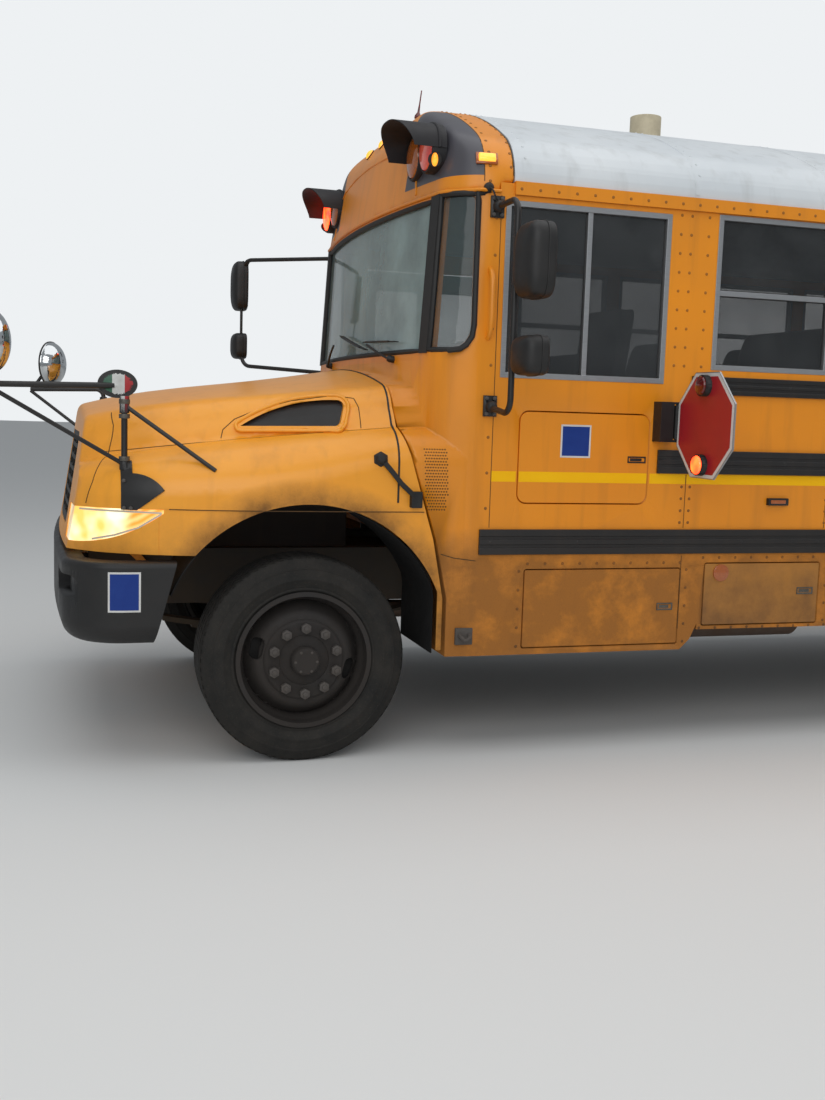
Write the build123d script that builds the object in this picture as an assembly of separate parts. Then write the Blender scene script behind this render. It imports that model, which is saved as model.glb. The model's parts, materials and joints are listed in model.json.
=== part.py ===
from build123d import *
import math
import os

# A conventional school bus, in millimetres.
# While it is modelled, X = 0 is the front axle, +X is forward, +Y is the bus's left, Z = 0 is the ground.
# At the end all of it moves forward, so that X = 0 is halfway along the overall length.

# Overall sizes
WHEELBASE = 6452
FRONT_REACH = 1299
REAR_REACH = 10105
REAR_BUMPER_BACK = -9950
ORIGIN_SHIFT = (REAR_REACH - FRONT_REACH) / 2

# Body shell
HALF_WIDTH = 1207
WALL = 40
BODY_FRONT = -790
CAP_BACK = -853
BODY_REAR = -9860
SKIRT_Z = 555
FRONT_SKIRT_Z = 462
FRONT_SKIRT_BACK = -1822
FLOOR_TOP = 950
FLOOR_THICK = 30
EAVE_Z = 2510
CROWN_Z = 3008
COVE_RADIUS = 250

# Windshield and the shell round it
SILL_Z = 1760
HEADER_Z = 2470
NOSE_AT_SILL = -445
NOSE_AT_HEADER = -485
NOSE_AT_CROWN = -560
FRONT_BULGE = 75
CORNER_RADIUS = 210
GLASS = 6

# Side windows
DRIVER_WINDOW = dict(front=-818, back=-1612, low=1690, high=2440)
PASSENGER_COUNT = 11
PASSENGER_PITCH = 711
PASSENGER_WIDTH = 625
PASSENGER_FRONT = -1850
PASSENGER_LOW = 1762
PASSENGER_HIGH = 2458
FRAME_BAR = 24

# Doors, each with the gap that is left all round it
DOOR_GAP = 6
ENTRANCE = dict(front=-832, back=-1642, low=385, high=2395)
SIDE_DOORS = [
    # name, front, back, low, high, leaf thickness, corner radius
    ("access_door", -917, -1560, 1140, 1552, 25, 46),
    ("battery_door", -968, -1758, 488, 850, 25, 14),
    ("luggage_door", -1878, -2515, 570, 872, 25, 14),
]
EMERGENCY_HALF = 330
EMERGENCY_LOW = 975
EMERGENCY_HIGH = 2300

# Rub rails along the side, by height and by where each starts
RAIL_STAND = 15
LEFT_RAILS = [
    # low, high, front end
    (1650, 1732, -1755),
    (1286, 1393, -1600),
    (916, 1028, -748),
]

# Wheels and axles
TYRE_RADIUS = 450
TYRE_WIDTH = 255
RIM_RADIUS = 298
BEAD_RADIUS = 285
STUD_CIRCLE = 142.9
STUD_COUNT = 10
FRONT_WHEEL_Y = 1005
REAR_OUTER_Y = 1045
REAR_INNER_Y = 755
KINGPIN_Y = 860
KINGPIN_RADIUS = 22
RUNNING_FIT = 0.1
TIE_ARM = 170
TIE_ROD_Z = 353
SPINDLE_RADIUS = 35

# Chassis
RAIL_Y = 430
RAIL_FLANGE = 76
RAIL_WEB = 8
RAIL_LOW = 600
RAIL_HIGH = 860
RAIL_FRONT = 880
RAIL_BACK = -9700
SPRING_WIDTH = 76

# Hood
HOOD_WALL = 8
HOOD_LOW = 910
HOOD_PIVOT_X = 905
HOOD_PIVOT_Z = 600
HOOD_ARM_Y = 496
HOOD_ARM_RADIUS = 332
HOOD_ARM_BACK = -66
HOOD_ARM_FRONT = 17
NOSE_X = 1005
NOSE_LEAN = 0.159
NOSE_BULGE = 25
NOSE_ROUND = 42
SEAM_Z = 1100
SEAM_STEP = 3
ARCH_Z = 510
ARCH_RADIUS = 620
ARCH_BACK = -572

# Stop sign on its arm
SIGN_X = -1655
SIGN_HINGE_Y = 1270
SIGN_ACROSS = 457
SIGN_Z = 1510


def block(x0, x1, y0, y1, z0, z1):
    size = Box(abs(x1 - x0), abs(y1 - y0), abs(z1 - z0))
    return Pos((x0 + x1) / 2, (y0 + y1) / 2, (z0 + z1) / 2) * size


def plate_xz(points, y0, y1):
    face = make_face(Polyline(*[(x, y0, z) for x, z in points], close=True))
    return extrude(face, amount=y1 - y0, dir=(0, 1, 0))


def round_plate(x0, x1, y0, y1, z0, z1, radius):
    middle = Plane(origin=((x0 + x1) / 2, y0, (z0 + z1) / 2), x_dir=(1, 0, 0), z_dir=(0, 1, 0))
    return extrude(middle * RectangleRounded(x1 - x0, z1 - z0, radius), amount=y1 - y0, dir=(0, 1, 0))


def plate_yz(points, x0, x1):
    face = make_face(Polyline(*[(x0, y, z) for y, z in points], close=True))
    return extrude(face, amount=x1 - x0, dir=(1, 0, 0))


def plate_xy(points, z0, z1):
    face = make_face(Polyline(*[(x, y, z0) for x, y in points], close=True))
    return extrude(face, amount=z1 - z0, dir=(0, 0, 1))


def bar(start, end, radius):
    a = Vector(*start)
    b = Vector(*end)
    return extrude(Plane(origin=a, z_dir=b - a) * Circle(radius), amount=(b - a).length)


def bent_tube(points, radius, bend):
    path = FilletPolyline(*points, radius=bend)
    start = path @ 0
    return sweep(Plane(origin=start, z_dir=path % 0) * Circle(radius), path=path)


def mirrored(shape):
    return mirror(shape, about=Plane.XZ)


def both_sides(shape):
    return shape + mirrored(shape)


def turned_y(profile, y=0):
    # A profile of (radius, y) points is turned about the wheel's own axis.
    face = make_face(Polyline(*[(r, a, 0) for r, a in profile], close=True))
    return Pos(0, y, 0) * revolve(face, axis=Axis.Y, revolution_arc=360)


# Roof section: a crown arc and two cove arcs, all tangent
def roof_face(x, inset, low):
    half = HALF_WIDTH - inset
    cove = COVE_RADIUS - inset
    crown = CROWN_Z - inset
    side = half - cove
    rise = crown - EAVE_Z
    crown_radius = (side ** 2 + rise ** 2 - cove ** 2) / (2 * (rise - cove))
    crown_centre = crown - crown_radius
    lean = math.atan2(side, EAVE_Z - crown_centre)
    joint = (side + cove * math.sin(lean), EAVE_Z + cove * math.cos(lean))
    middle = (math.pi / 2 + lean) / 2
    bend = (side + cove * math.sin(middle), EAVE_Z + cove * math.cos(middle))
    edges = [
        Line((x, -half, low), (x, half, low)),
        Line((x, half, low), (x, half, EAVE_Z)),
        ThreePointArc((x, half, EAVE_Z), (x, *bend), (x, *joint)),
        ThreePointArc((x, *joint), (x, 0, crown), (x, -joint[0], joint[1])),
        ThreePointArc((x, -joint[0], joint[1]), (x, -bend[0], bend[1]), (x, -half, EAVE_Z)),
        Line((x, -half, EAVE_Z), (x, -half, low)),
    ]
    return make_face(edges)


def roof_bar(x0, x1, inset, low):
    return extrude(roof_face(x1, inset, low), amount=x0 - x1, dir=(1, 0, 0))


# Plan of the cabin's front: a shallow arc, two round corners and straight sides
def front_plan(z, nose, inset, back=BODY_FRONT):
    half = HALF_WIDTH - inset
    corner = CORNER_RADIUS - inset
    tip = nose - inset
    shoulder = tip - FRONT_BULGE
    turn = half - corner
    diagonal = corner * math.sqrt(0.5)
    heel = shoulder - corner
    edges = [
        Line((back, -half, z), (heel, -half, z)),
        ThreePointArc((heel, -half, z), (heel + diagonal, -turn - diagonal, z), (shoulder, -turn, z)),
        ThreePointArc((shoulder, -turn, z), (tip, 0, z), (shoulder, turn, z)),
        ThreePointArc((shoulder, turn, z), (heel + diagonal, turn + diagonal, z), (heel, half, z)),
        Line((heel, half, z), (back, half, z)),
        Line((back, half, z), (back, -half, z)),
    ]
    return make_face(edges)


def front_bar(z0, nose0, z1, nose1, inset, back=BODY_FRONT):
    low = front_plan(z0, nose0, inset, back)
    high = front_plan(z1, nose1, inset, back)
    return loft([low, high], ruled=True)


# Wheel and tyre
TYRE_SECTION = [
    # radius, share of the half width
    (BEAD_RADIUS, 0.80),
    (RIM_RADIUS + 6, 0.86),
    (352, 0.99),
    (378, 1.00),
    (412, 0.95),
    (440, 0.86),
    (TYRE_RADIUS - 2, 0.74),
]
TYRE_GROOVES = [0.20, 0.52]
GROOVE_HALF = 6
GROOVE_DEEP = 13


def tyre(y):
    half = TYRE_WIDTH / 2
    outside = [(r, share * half) for r, share in TYRE_SECTION]
    tread = []
    for share in reversed(TYRE_GROOVES):
        centre = share * half
        tread.append((TYRE_RADIUS, centre + GROOVE_HALF))
        tread.append((TYRE_RADIUS - GROOVE_DEEP, centre + GROOVE_HALF))
        tread.append((TYRE_RADIUS - GROOVE_DEEP, centre - GROOVE_HALF))
        tread.append((TYRE_RADIUS, centre - GROOVE_HALF))
    near = outside + tread
    far = [(r, -a) for r, a in reversed(near)]
    return turned_y(near + far, y)


def hand_hole(angle, y0, y1):
    slot = extrude(Plane.XZ * SlotOverall(96, 50), amount=y1 - y0, both=False)
    slot = Pos(0, y1, 0) * slot
    return Rot(0, angle, 0) * (Pos(0, 0, 208) * Rot(0, 0, 0) * slot)


def rim(y, side, dish, nuts):
    # side is +1 when the disc's crown faces +Y, dish is where the disc's stud face lies
    half = 107
    wall = 7
    barrel = [
        (BEAD_RADIUS, half), (RIM_RADIUS, half + 8), (RIM_RADIUS, half + 15), (BEAD_RADIUS - wall, half + 15),
        (BEAD_RADIUS - wall, half - 30), (262 - wall, 40), (262 - wall, -40), (BEAD_RADIUS - wall, 30 - half),
        (BEAD_RADIUS - wall, -half - 15), (RIM_RADIUS, -half - 15), (RIM_RADIUS, -half - 8),
        (BEAD_RADIUS, -half), (BEAD_RADIUS, 34 - half), (262, -44), (262, 44), (BEAD_RADIUS, half - 34),
    ]
    disc = [
        (112, dish), (190, dish), (214, dish - 14), (262 - wall, 22), (262 - wall, 8),
        (206, dish - 26), (186, dish - 12), (112, dish - 12),
    ]
    body = turned_y(barrel) + turned_y(disc)
    for angle in (76, 256):
        body -= hand_hole(angle, dish - 60, dish + 20)
    bore = SPINDLE_RADIUS + RUNNING_FIT
    hub = turned_y([(0, dish + 8), (112, dish + 8), (112, dish - 20), (190, dish - 44), (190, dish - 150),
                    (178, dish - 150), (178, dish - 56), (84, dish - 56), (84, dish - 90), (bore, dish - 90),
                    (bore, dish - 20), (0, dish - 20)])
    cap = turned_y([(0, dish + 62), (52, dish + 62), (62, dish + 50), (66, dish + 8), (0, dish + 8)])
    body += hub + cap
    if nuts:
        for k in range(STUD_COUNT):
            turn = math.radians(k * 360 / STUD_COUNT + 18)
            spot = Pos(STUD_CIRCLE * math.cos(turn), dish + 32, STUD_CIRCLE * math.sin(turn))
            body += spot * extrude(Plane.XZ * RegularPolygon(19, 6), amount=32)
    if side < 0:
        body = mirrored(body)
    return Pos(0, side * y, 0) * body


def at_front_axle(shape):
    return Pos(0, 0, TYRE_RADIUS) * shape


def at_rear_axle(shape):
    return Pos(-WHEELBASE, 0, TYRE_RADIUS) * shape


def make_wheels():
    parts = {}
    for name, side in (("left", 1), ("right", -1)):
        parts[f"front_{name}_tyre"] = at_front_axle(tyre(side * FRONT_WHEEL_Y))
        parts[f"front_{name}_rim"] = at_front_axle(rim(FRONT_WHEEL_Y, side, 100, True))
        outer = tyre(side * REAR_OUTER_Y)
        inner = tyre(side * REAR_INNER_Y)
        parts[f"rear_{name}_tyres"] = at_rear_axle(outer + inner)
        half_gap = (REAR_OUTER_Y - REAR_INNER_Y) / 2
        outer_rim = rear_rim(REAR_OUTER_Y, side, -half_gap + 1)
        inner_rim = rear_rim(REAR_INNER_Y, side, half_gap)
        hub = rear_hub(side)
        parts[f"rear_{name}_rims"] = at_rear_axle(outer_rim + inner_rim + hub)
    return parts


def rear_rim(y, side, face):
    # face is where the disc meets its twin, measured from the rim's own middle
    half = 107
    wall = 7
    way = 1 if face > 0 else -1
    barrel = [
        (BEAD_RADIUS, half), (RIM_RADIUS, half + 8), (RIM_RADIUS, half + 15), (BEAD_RADIUS - wall, half + 15),
        (BEAD_RADIUS - wall, half - 30), (262 - wall, 40), (262 - wall, -40), (BEAD_RADIUS - wall, 30 - half),
        (BEAD_RADIUS - wall, -half - 15), (RIM_RADIUS, -half - 15), (RIM_RADIUS, -half - 8),
        (BEAD_RADIUS, -half), (BEAD_RADIUS, 34 - half), (262, -44), (262, 44), (BEAD_RADIUS, half - 34),
    ]
    back = face - way * 12
    disc = [
        (112, face), (190, face), (222, face - way * 30), (262 - wall, way * 22), (262 - wall, way * 8),
        (212, face - way * 38), (184, back), (112, back),
    ]
    body = turned_y(barrel) + turned_y(disc)
    if side < 0:
        body = mirrored(body)
    return Pos(0, side * y, 0) * body


def rear_hub(side):
    middle = (REAR_OUTER_Y + REAR_INNER_Y) / 2
    hub = turned_y([(0, middle + 118), (58, middle + 118), (72, middle + 96), (78, middle + 12), (113, middle + 12),
                    (113, middle - 14), (200, middle - 30), (200, middle - 160), (188, middle - 160),
                    (188, middle - 42), (84, middle - 42), (84, middle - 60), (0, middle - 60)])
    for k in range(STUD_COUNT):
        turn = math.radians(k * 360 / STUD_COUNT + 18)
        spot = Pos(STUD_CIRCLE * math.cos(turn), middle + 44, STUD_CIRCLE * math.sin(turn))
        hub += spot * extrude(Plane.XZ * RegularPolygon(19, 6), amount=34)
    if side < 0:
        hub = mirrored(hub)
    return hub


# Front axle beam, knuckles and tie rod
def make_front_axle():
    beam = [
        (-KINGPIN_Y, 505), (-KINGPIN_Y, 425), (-700, 412), (-560, 330), (560, 330), (700, 412),
        (KINGPIN_Y, 425), (KINGPIN_Y, 505), (690, 480), (550, 415), (-550, 415), (-690, 480),
    ]
    axle = plate_yz(beam, -45, 45)
    for side in (1, -1):
        axle += block(-48, 48, side * (RAIL_Y - 50), side * (RAIL_Y + 50), 400, 440)
        y = side * KINGPIN_Y
        axle += Pos(0, y, 465) * Cylinder(42, 86)
        axle -= Pos(0, y, 465) * Cylinder(KINGPIN_RADIUS + RUNNING_FIT, 100)
    return axle


def make_knuckle(side):
    y = side * KINGPIN_Y
    pin = Pos(0, y, 465) * Cylinder(KINGPIN_RADIUS, 190)
    yoke = block(-34, 34, y + side * 48, y + side * 76, 372, 558)
    for z0, z1 in ((516, 560), (370, 414)):
        ear = Pos(0, y, (z0 + z1) / 2) * Cylinder(38, z1 - z0)
        web = block(-34, 34, y, y + side * 60, z0, z1)
        yoke += ear + web
    spindle = Pos(0, y + side * 135, TYRE_RADIUS) * Rot(90, 0, 0) * Cylinder(SPINDLE_RADIUS, 170)
    arm = plate_xy([(20, y - 30), (20, y + 30), (-TIE_ARM, y + 26), (-TIE_ARM - 26, y), (-TIE_ARM, y - 26)], 380, 404)
    arm -= Pos(-TIE_ARM, y, 392) * Cylinder(12 + RUNNING_FIT, 40)
    return pin + yoke + spindle + arm


def make_tie_rod():
    rod = bar((-TIE_ARM, -KINGPIN_Y + 20, TIE_ROD_Z), (-TIE_ARM, KINGPIN_Y - 20, TIE_ROD_Z), 19)
    for side in (1, -1):
        y = side * KINGPIN_Y
        rod += Pos(-TIE_ARM, y, TIE_ROD_Z) * Cylinder(27, 44)
        if side > 0:
            rod += Pos(-TIE_ARM, y, TIE_ROD_Z + 35) * Cylinder(12, 42)
    return rod


# Rear axle
def make_rear_axle():
    housing = bar((-WHEELBASE, -690, TYRE_RADIUS), (-WHEELBASE, 690, TYRE_RADIUS), 66)
    housing += Pos(-WHEELBASE, 0, TYRE_RADIUS) * Rot(0, 90, 0) * Cylinder(215, 170)
    nose = Plane(origin=(-WHEELBASE + 80, 0, TYRE_RADIUS), z_dir=(1, 0, 0.05)) * Circle(125)
    housing += extrude(nose, amount=215, taper=9)
    for side in (1, -1):
        y = side * (RAIL_Y + 96)
        housing += block(-WHEELBASE - 60, -WHEELBASE + 60, y - 50, y + 50, 495, 545)
    return housing


SPRINGS = [
    # axle x, inboard edge, lowest leaf, half length, leaves, eye height, clamp bolt distance
    (0, RAIL_Y - 38, 440, 680, 4, 560, 50),
    (-WHEELBASE, RAIL_Y + 58, 545, 760, 6, 650, 70),
]


def leaf_stack(axle_x, y, low, half_length, leaves, eye_z):
    # The master leaf bows up to its eyes; shorter leaves lie under it.
    thick = 12
    stack = None
    for k in range(leaves):
        reach = half_length * (1 - k * 0.8 / leaves)
        base = low + (leaves - 1 - k) * thick
        rise = (eye_z - low - (leaves - 1) * thick) * (reach / half_length) ** 2
        top = ThreePointArc((axle_x - reach, y, base + rise), (axle_x, y, base), (axle_x + reach, y, base + rise))
        face = make_face([
            top,
            Line((axle_x + reach, y, base + rise), (axle_x + reach, y, base + rise + thick + 0.5)),
            ThreePointArc((axle_x + reach, y, base + rise + thick + 0.5), (axle_x, y, base + thick + 0.5),
                          (axle_x - reach, y, base + rise + thick + 0.5)),
            Line((axle_x - reach, y, base + rise + thick + 0.5), (axle_x - reach, y, base + rise)),
        ])
        leaf = extrude(face, amount=SPRING_WIDTH, dir=(0, 1, 0))
        stack = leaf if stack is None else stack + leaf
    for end in (-half_length, half_length):
        eye = Pos(axle_x + end, y + SPRING_WIDTH / 2, eye_z + 10) * Rot(90, 0, 0) * Cylinder(28, SPRING_WIDTH)
        stack += eye
    return stack


def make_leaf_springs():
    springs = None
    for axle_x, inboard, low, reach, leaves, eye, bolt_x in SPRINGS:
        stack = leaf_stack(axle_x, inboard, low, reach, leaves, eye)
        top = low + leaves * 12
        for shift in (-bolt_x - 16, bolt_x):
            for y in (inboard - 18, inboard + SPRING_WIDTH + 2):
                stack += block(axle_x + shift, axle_x + shift + 16, y, y + 16, low - 60, top + 26)
        reach_x = bolt_x + 16
        stack += block(axle_x - reach_x, axle_x + reach_x, inboard - 20, inboard + SPRING_WIDTH + 20, top, top + 22)
        springs = stack if springs is None else springs + stack
    return both_sides(springs)


# Frame rails with their spring hangers, hood horns and tow eyes
TOW_EYE_RADIUS = 20
TOW_EYES = [
    # x, z
    (800, 520), (-9640, 520),
]
CROSSMEMBERS = [780, -1250, -1900, -3300, -4800, -5600, -7300, -8500, -9600]


def make_chassis_frame():
    outer = RAIL_Y + RAIL_FLANGE / 2
    inner = RAIL_Y - RAIL_FLANGE / 2
    rail = block(RAIL_BACK, RAIL_FRONT, outer - RAIL_WEB, outer, RAIL_LOW, RAIL_HIGH)
    rail += block(RAIL_BACK, RAIL_FRONT, inner, outer, RAIL_LOW, RAIL_LOW + RAIL_WEB)
    rail += block(RAIL_BACK, RAIL_FRONT, inner, outer, RAIL_HIGH - RAIL_WEB, RAIL_HIGH)
    for x in (680, -680):
        rail += block(x - 30, x + 30, outer, outer + 8, 530, 650)
        rail += block(x - 30, x + 30, inner - 8, inner, 530, RAIL_LOW + RAIL_WEB)
    spring = RAIL_Y + 58
    for x in (-WHEELBASE + 760, -WHEELBASE - 760):
        rail += block(x - 34, x + 34, outer, spring, 615, 710)
        rail += block(x - 34, x + 34, outer, spring + SPRING_WIDTH + 8, 692, 710)
        rail += block(x - 34, x + 34, spring + SPRING_WIDTH, spring + SPRING_WIDTH + 8, 615, 710)
    rail += block(RAIL_FRONT - 40, HOOD_PIVOT_X + 24, outer, outer + 8, HOOD_PIVOT_Z - 24, HOOD_PIVOT_Z + 60)
    rail += Pos(HOOD_PIVOT_X, (outer + HOOD_ARM_Y + 14) / 2, HOOD_PIVOT_Z) * Rot(90, 0, 0) * Cylinder(
        12, HOOD_ARM_Y + 14 - outer)
    for x, z in TOW_EYES:
        eye = block(x - 50, x + 50, outer - 16, outer, z - 45, RAIL_LOW + 40)
        rail += eye - Pos(x, outer - 8, z) * Rot(90, 0, 0) * Cylinder(TOW_EYE_RADIUS, 40)
    return both_sides(rail)


# Crossmembers: pressed tee sections between the webs of the rails
def make_crossmembers():
    reach = RAIL_Y + RAIL_FLANGE / 2 - RAIL_WEB
    members = None
    for x in CROSSMEMBERS:
        member = block(x - 40, x + 40, -reach, reach, 800, 808)
        member += block(x - 4, x + 4, -reach, reach, 750, 808)
        members = member if members is None else members + member
    return members


def make_floor():
    half = HALF_WIDTH - WALL
    deck = block(BODY_REAR, BODY_FRONT, -half, half, FLOOR_TOP - FLOOR_THICK, FLOOR_TOP)
    deck += block(BODY_FRONT, -640, -half, half, FLOOR_TOP - FLOOR_THICK, FLOOR_TOP) & cowl_cavity()
    deck -= block(ENTRANCE["back"] + 20, ENTRANCE["front"] - 20, -half - 1, -600, 900, 960)
    for k in range(14):
        x = -900 - k * 660
        deck += block(x - 30, x + 30, -594, half, RAIL_HIGH, FLOOR_TOP - FLOOR_THICK)
    return deck


# Body side with its windows and doorways
def window_fronts():
    return [PASSENGER_FRONT - k * PASSENGER_PITCH for k in range(PASSENGER_COUNT)]


def wheel_opening(x):
    circle = Pos(x, 0, TYRE_RADIUS) * Rot(90, 0, 0) * Cylinder(545, 4000)
    return circle & block(x - 600, x + 600, -2000, 2000, 0, 905)


def side_panel():
    outline = [
        (BODY_FRONT, FRONT_SKIRT_Z), (BODY_FRONT, EAVE_Z), (BODY_REAR, EAVE_Z), (BODY_REAR, SKIRT_Z),
        (FRONT_SKIRT_BACK - 34, SKIRT_Z), (FRONT_SKIRT_BACK - 34, 585), (FRONT_SKIRT_BACK, 510),
        (FRONT_SKIRT_BACK + 50, FRONT_SKIRT_Z),
    ]
    wall = plate_xz(outline, HALF_WIDTH - WALL, HALF_WIDTH)
    for front in window_fronts():
        wall -= block(front - PASSENGER_WIDTH, front, 1100, 1300, PASSENGER_LOW, PASSENGER_HIGH)
    wall -= wheel_opening(-WHEELBASE)
    return wall


def make_left_side_wall():
    wall = side_panel()
    window = DRIVER_WINDOW
    wall -= block(window["back"], window["front"], 1100, 1300, window["low"], window["high"])
    for name, front, back, low, high, thick, corner in SIDE_DOORS:
        wall -= round_plate(back, front, HALF_WIDTH - thick - 5, 1300, low, high, corner)
        wall -= round_plate(back + 30, front - 30, 1100, 1300, low + 30, high - 30, corner)
    return wall


def make_right_side_wall():
    wall = mirrored(side_panel())
    door = ENTRANCE
    wall -= block(door["back"], door["front"], -1300, -1100, 300, door["high"])
    return wall


def make_side_doors():
    doors = {}
    for name, front, back, low, high, thick, corner in SIDE_DOORS:
        g = DOOR_GAP
        leaf = round_plate(back + g, front - g, HALF_WIDTH - thick, HALF_WIDTH, low + g, high - g, corner - g)
        doors[name] = leaf
    return doors


def make_entrance_doors():
    door = ENTRANCE
    middle = (door["front"] + door["back"]) / 2
    g = DOOR_GAP
    leaves = {}
    spans = [("entrance_door_front", middle + g, door["front"] - g), ("entrance_door_rear", door["back"] + g, middle - g)]
    for name, x0, x1 in spans:
        leaf = block(x0, x1, -HALF_WIDTH, -HALF_WIDTH + 35, door["low"], door["high"] - g)
        for z0, z1 in ((door["low"] + 90, 1230), (1300, door["high"] - 110)):
            leaf -= block(x0 + 55, x1 - 55, -1300, -1100, z0, z1)
            leaf += block(x0 + 50, x1 - 50, -HALF_WIDTH + 14, -HALF_WIDTH + 20, z0 - 5, z1 + 5)
        leaves[name] = leaf
    return leaves


def make_entrance_steps():
    door = ENTRANCE
    half = HALF_WIDTH - WALL - 2
    x0 = door["back"] + 20
    x1 = door["front"] - 20
    steps = None
    rises = [
        # outer y, inner y, tread height, top of the riser behind it
        (-half, -960, 400, 590), (-960, -780, 590, 770), (-780, -600, 770, FLOOR_TOP),
    ]
    for y0, y1, z, top in rises:
        tread = block(x0, x1, y0, y1, z - 25, z)
        riser = block(x0, x1, y1 - 20, y1, z - 25, top)
        step = tread + riser
        steps = step if steps is None else steps + step
    for side_x in (x0, x1 - 20):
        steps += block(side_x, side_x + 20, -half, -600, 375, FLOOR_TOP)
    return steps


# Roof, drip rails and the rear wall
def make_roof():
    shell = roof_bar(CAP_BACK, BODY_REAR, 0, EAVE_Z - 2) - roof_bar(CAP_BACK + 5, BODY_REAR - 5, WALL, EAVE_Z - 20)
    shell -= block(BODY_REAR - 5, CAP_BACK + 5, -1300, 1300, 2400, EAVE_Z)
    drip = block(BODY_REAR, CAP_BACK, HALF_WIDTH, HALF_WIDTH + 14, EAVE_Z - 48, EAVE_Z + 2)
    drip += block(BODY_REAR, CAP_BACK, HALF_WIDTH - 20, HALF_WIDTH + 14, EAVE_Z, EAVE_Z + 8)
    return shell + both_sides(drip)


PLATE_Y = 700
PLATE_Z = 1010
PLATE_HOLES_Y = 177.8
PLATE_HOLES_Z = 120.65
PLATE_HOLE_RADIUS = 3.5


def make_rear_wall():
    wall = roof_bar(BODY_REAR, BODY_REAR - WALL, 0, SKIRT_Z)
    wall -= block(-10000, -9800, -EMERGENCY_HALF, EMERGENCY_HALF, EMERGENCY_LOW, EMERGENCY_HIGH)
    wall -= block(-10000, -9800, -520, 520, SKIRT_Z - 5, 732)
    for side in (1, -1):
        wall -= block(-10000, -9800, side * 450, side * 1020, 1640, 2230)
    for y in (PLATE_Y - PLATE_HOLES_Y / 2, PLATE_Y + PLATE_HOLES_Y / 2):
        for z in (PLATE_Z - PLATE_HOLES_Z / 2, PLATE_Z + PLATE_HOLES_Z / 2):
            wall -= Pos(BODY_REAR, y, z) * Rot(0, 90, 0) * Cylinder(PLATE_HOLE_RADIUS, 200)
    return wall


def make_emergency_door():
    g = DOOR_GAP
    back = BODY_REAR - WALL
    half = EMERGENCY_HALF - g
    door = block(back, back + 35, -half, half, EMERGENCY_LOW + g, EMERGENCY_HIGH - g)
    for z0, z1 in ((1110, 1500), (1640, 2200)):
        door -= block(-10000, -9800, -half + 70, half - 70, z0, z1)
        door += block(back + 14, back + 20, -half + 65, half - 65, z0 - 5, z1 + 5)
    return door


# Front of the cabin: the windshield's plan carried down, on an apron that goes on from the hood's rear end
APRON_SECTIONS = [
    (-380, 1190, 1282, 1055, 1460, 995, 1546, 885, 1646, 1731),
    (-800, 1206, 1312, 1080, 1482, 1020, 1568, 910, 1668, 1750),
]


def cowl_body(inset, back):
    cabin = extrude(front_plan(300, NOSE_AT_SILL, inset, back), amount=1600, dir=(0, 0, 1))
    return cabin + loft([hood_section(row, inset) for row in APRON_SECTIONS], ruled=True)


def cowl_form():
    profile = [
        (-612, FRONT_SKIRT_Z), (-612, 720), (-558, 980), (-410, 1450), (-398, 1700), (-398, SILL_Z),
        (BODY_FRONT, SILL_Z), (BODY_FRONT, FRONT_SKIRT_Z),
    ]
    return plate_xz(profile, -1300, 1300) & cowl_body(0, BODY_FRONT)


def cowl_cavity():
    inner = [
        (-652, 400), (-652, 725), (-600, 985), (-452, 1455), (-440, 1710), (BODY_FRONT - 5, 1710),
        (BODY_FRONT - 5, 400),
    ]
    return plate_xz(inner, -1300, 1300) & cowl_body(WALL, BODY_FRONT - 5)


def make_cowl():
    shell = cowl_form() - cowl_cavity()
    shell -= block(-700, -500, -1000, 1000, 400, FLOOR_TOP - FLOOR_THICK)
    shell -= front_bar(SILL_Z - 60, NOSE_AT_SILL, SILL_Z + 10, NOSE_AT_SILL, WALL, BODY_FRONT - 5)
    return shell


CORNER_GLASS = dict(back=-694, low=1796, high=2464)


def windshield_openings():
    low = SILL_Z + 38
    high = HEADER_Z - 24
    centre = plate_yz([(-985, low), (-985, high), (985, high), (985, low)], -700, -300)
    span = CORNER_GLASS
    outline = [(span["back"], span["low"]), (span["back"], span["high"]), (-300, span["high"]), (-300, span["low"])]
    face = make_face(Polyline(*[(x, 1062, z) for x, z in outline], close=True))
    rear = face.vertices().sort_by(Axis.X)[:2].sort_by(Axis.Z)
    face = fillet(rear[0], 112)
    face = fillet(face.vertices().sort_by(Axis.Z)[-2:].sort_by(Axis.X)[0], 36)
    return centre + both_sides(extrude(face, amount=240, dir=(0, 1, 0)))


def make_windshield_frame():
    outer = front_bar(SILL_Z, NOSE_AT_SILL, HEADER_Z, NOSE_AT_HEADER, 0)
    inner = front_bar(SILL_Z - 1, NOSE_AT_SILL, HEADER_Z + 1, NOSE_AT_HEADER, WALL, BODY_FRONT - 5)
    return outer - inner - windshield_openings()


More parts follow.
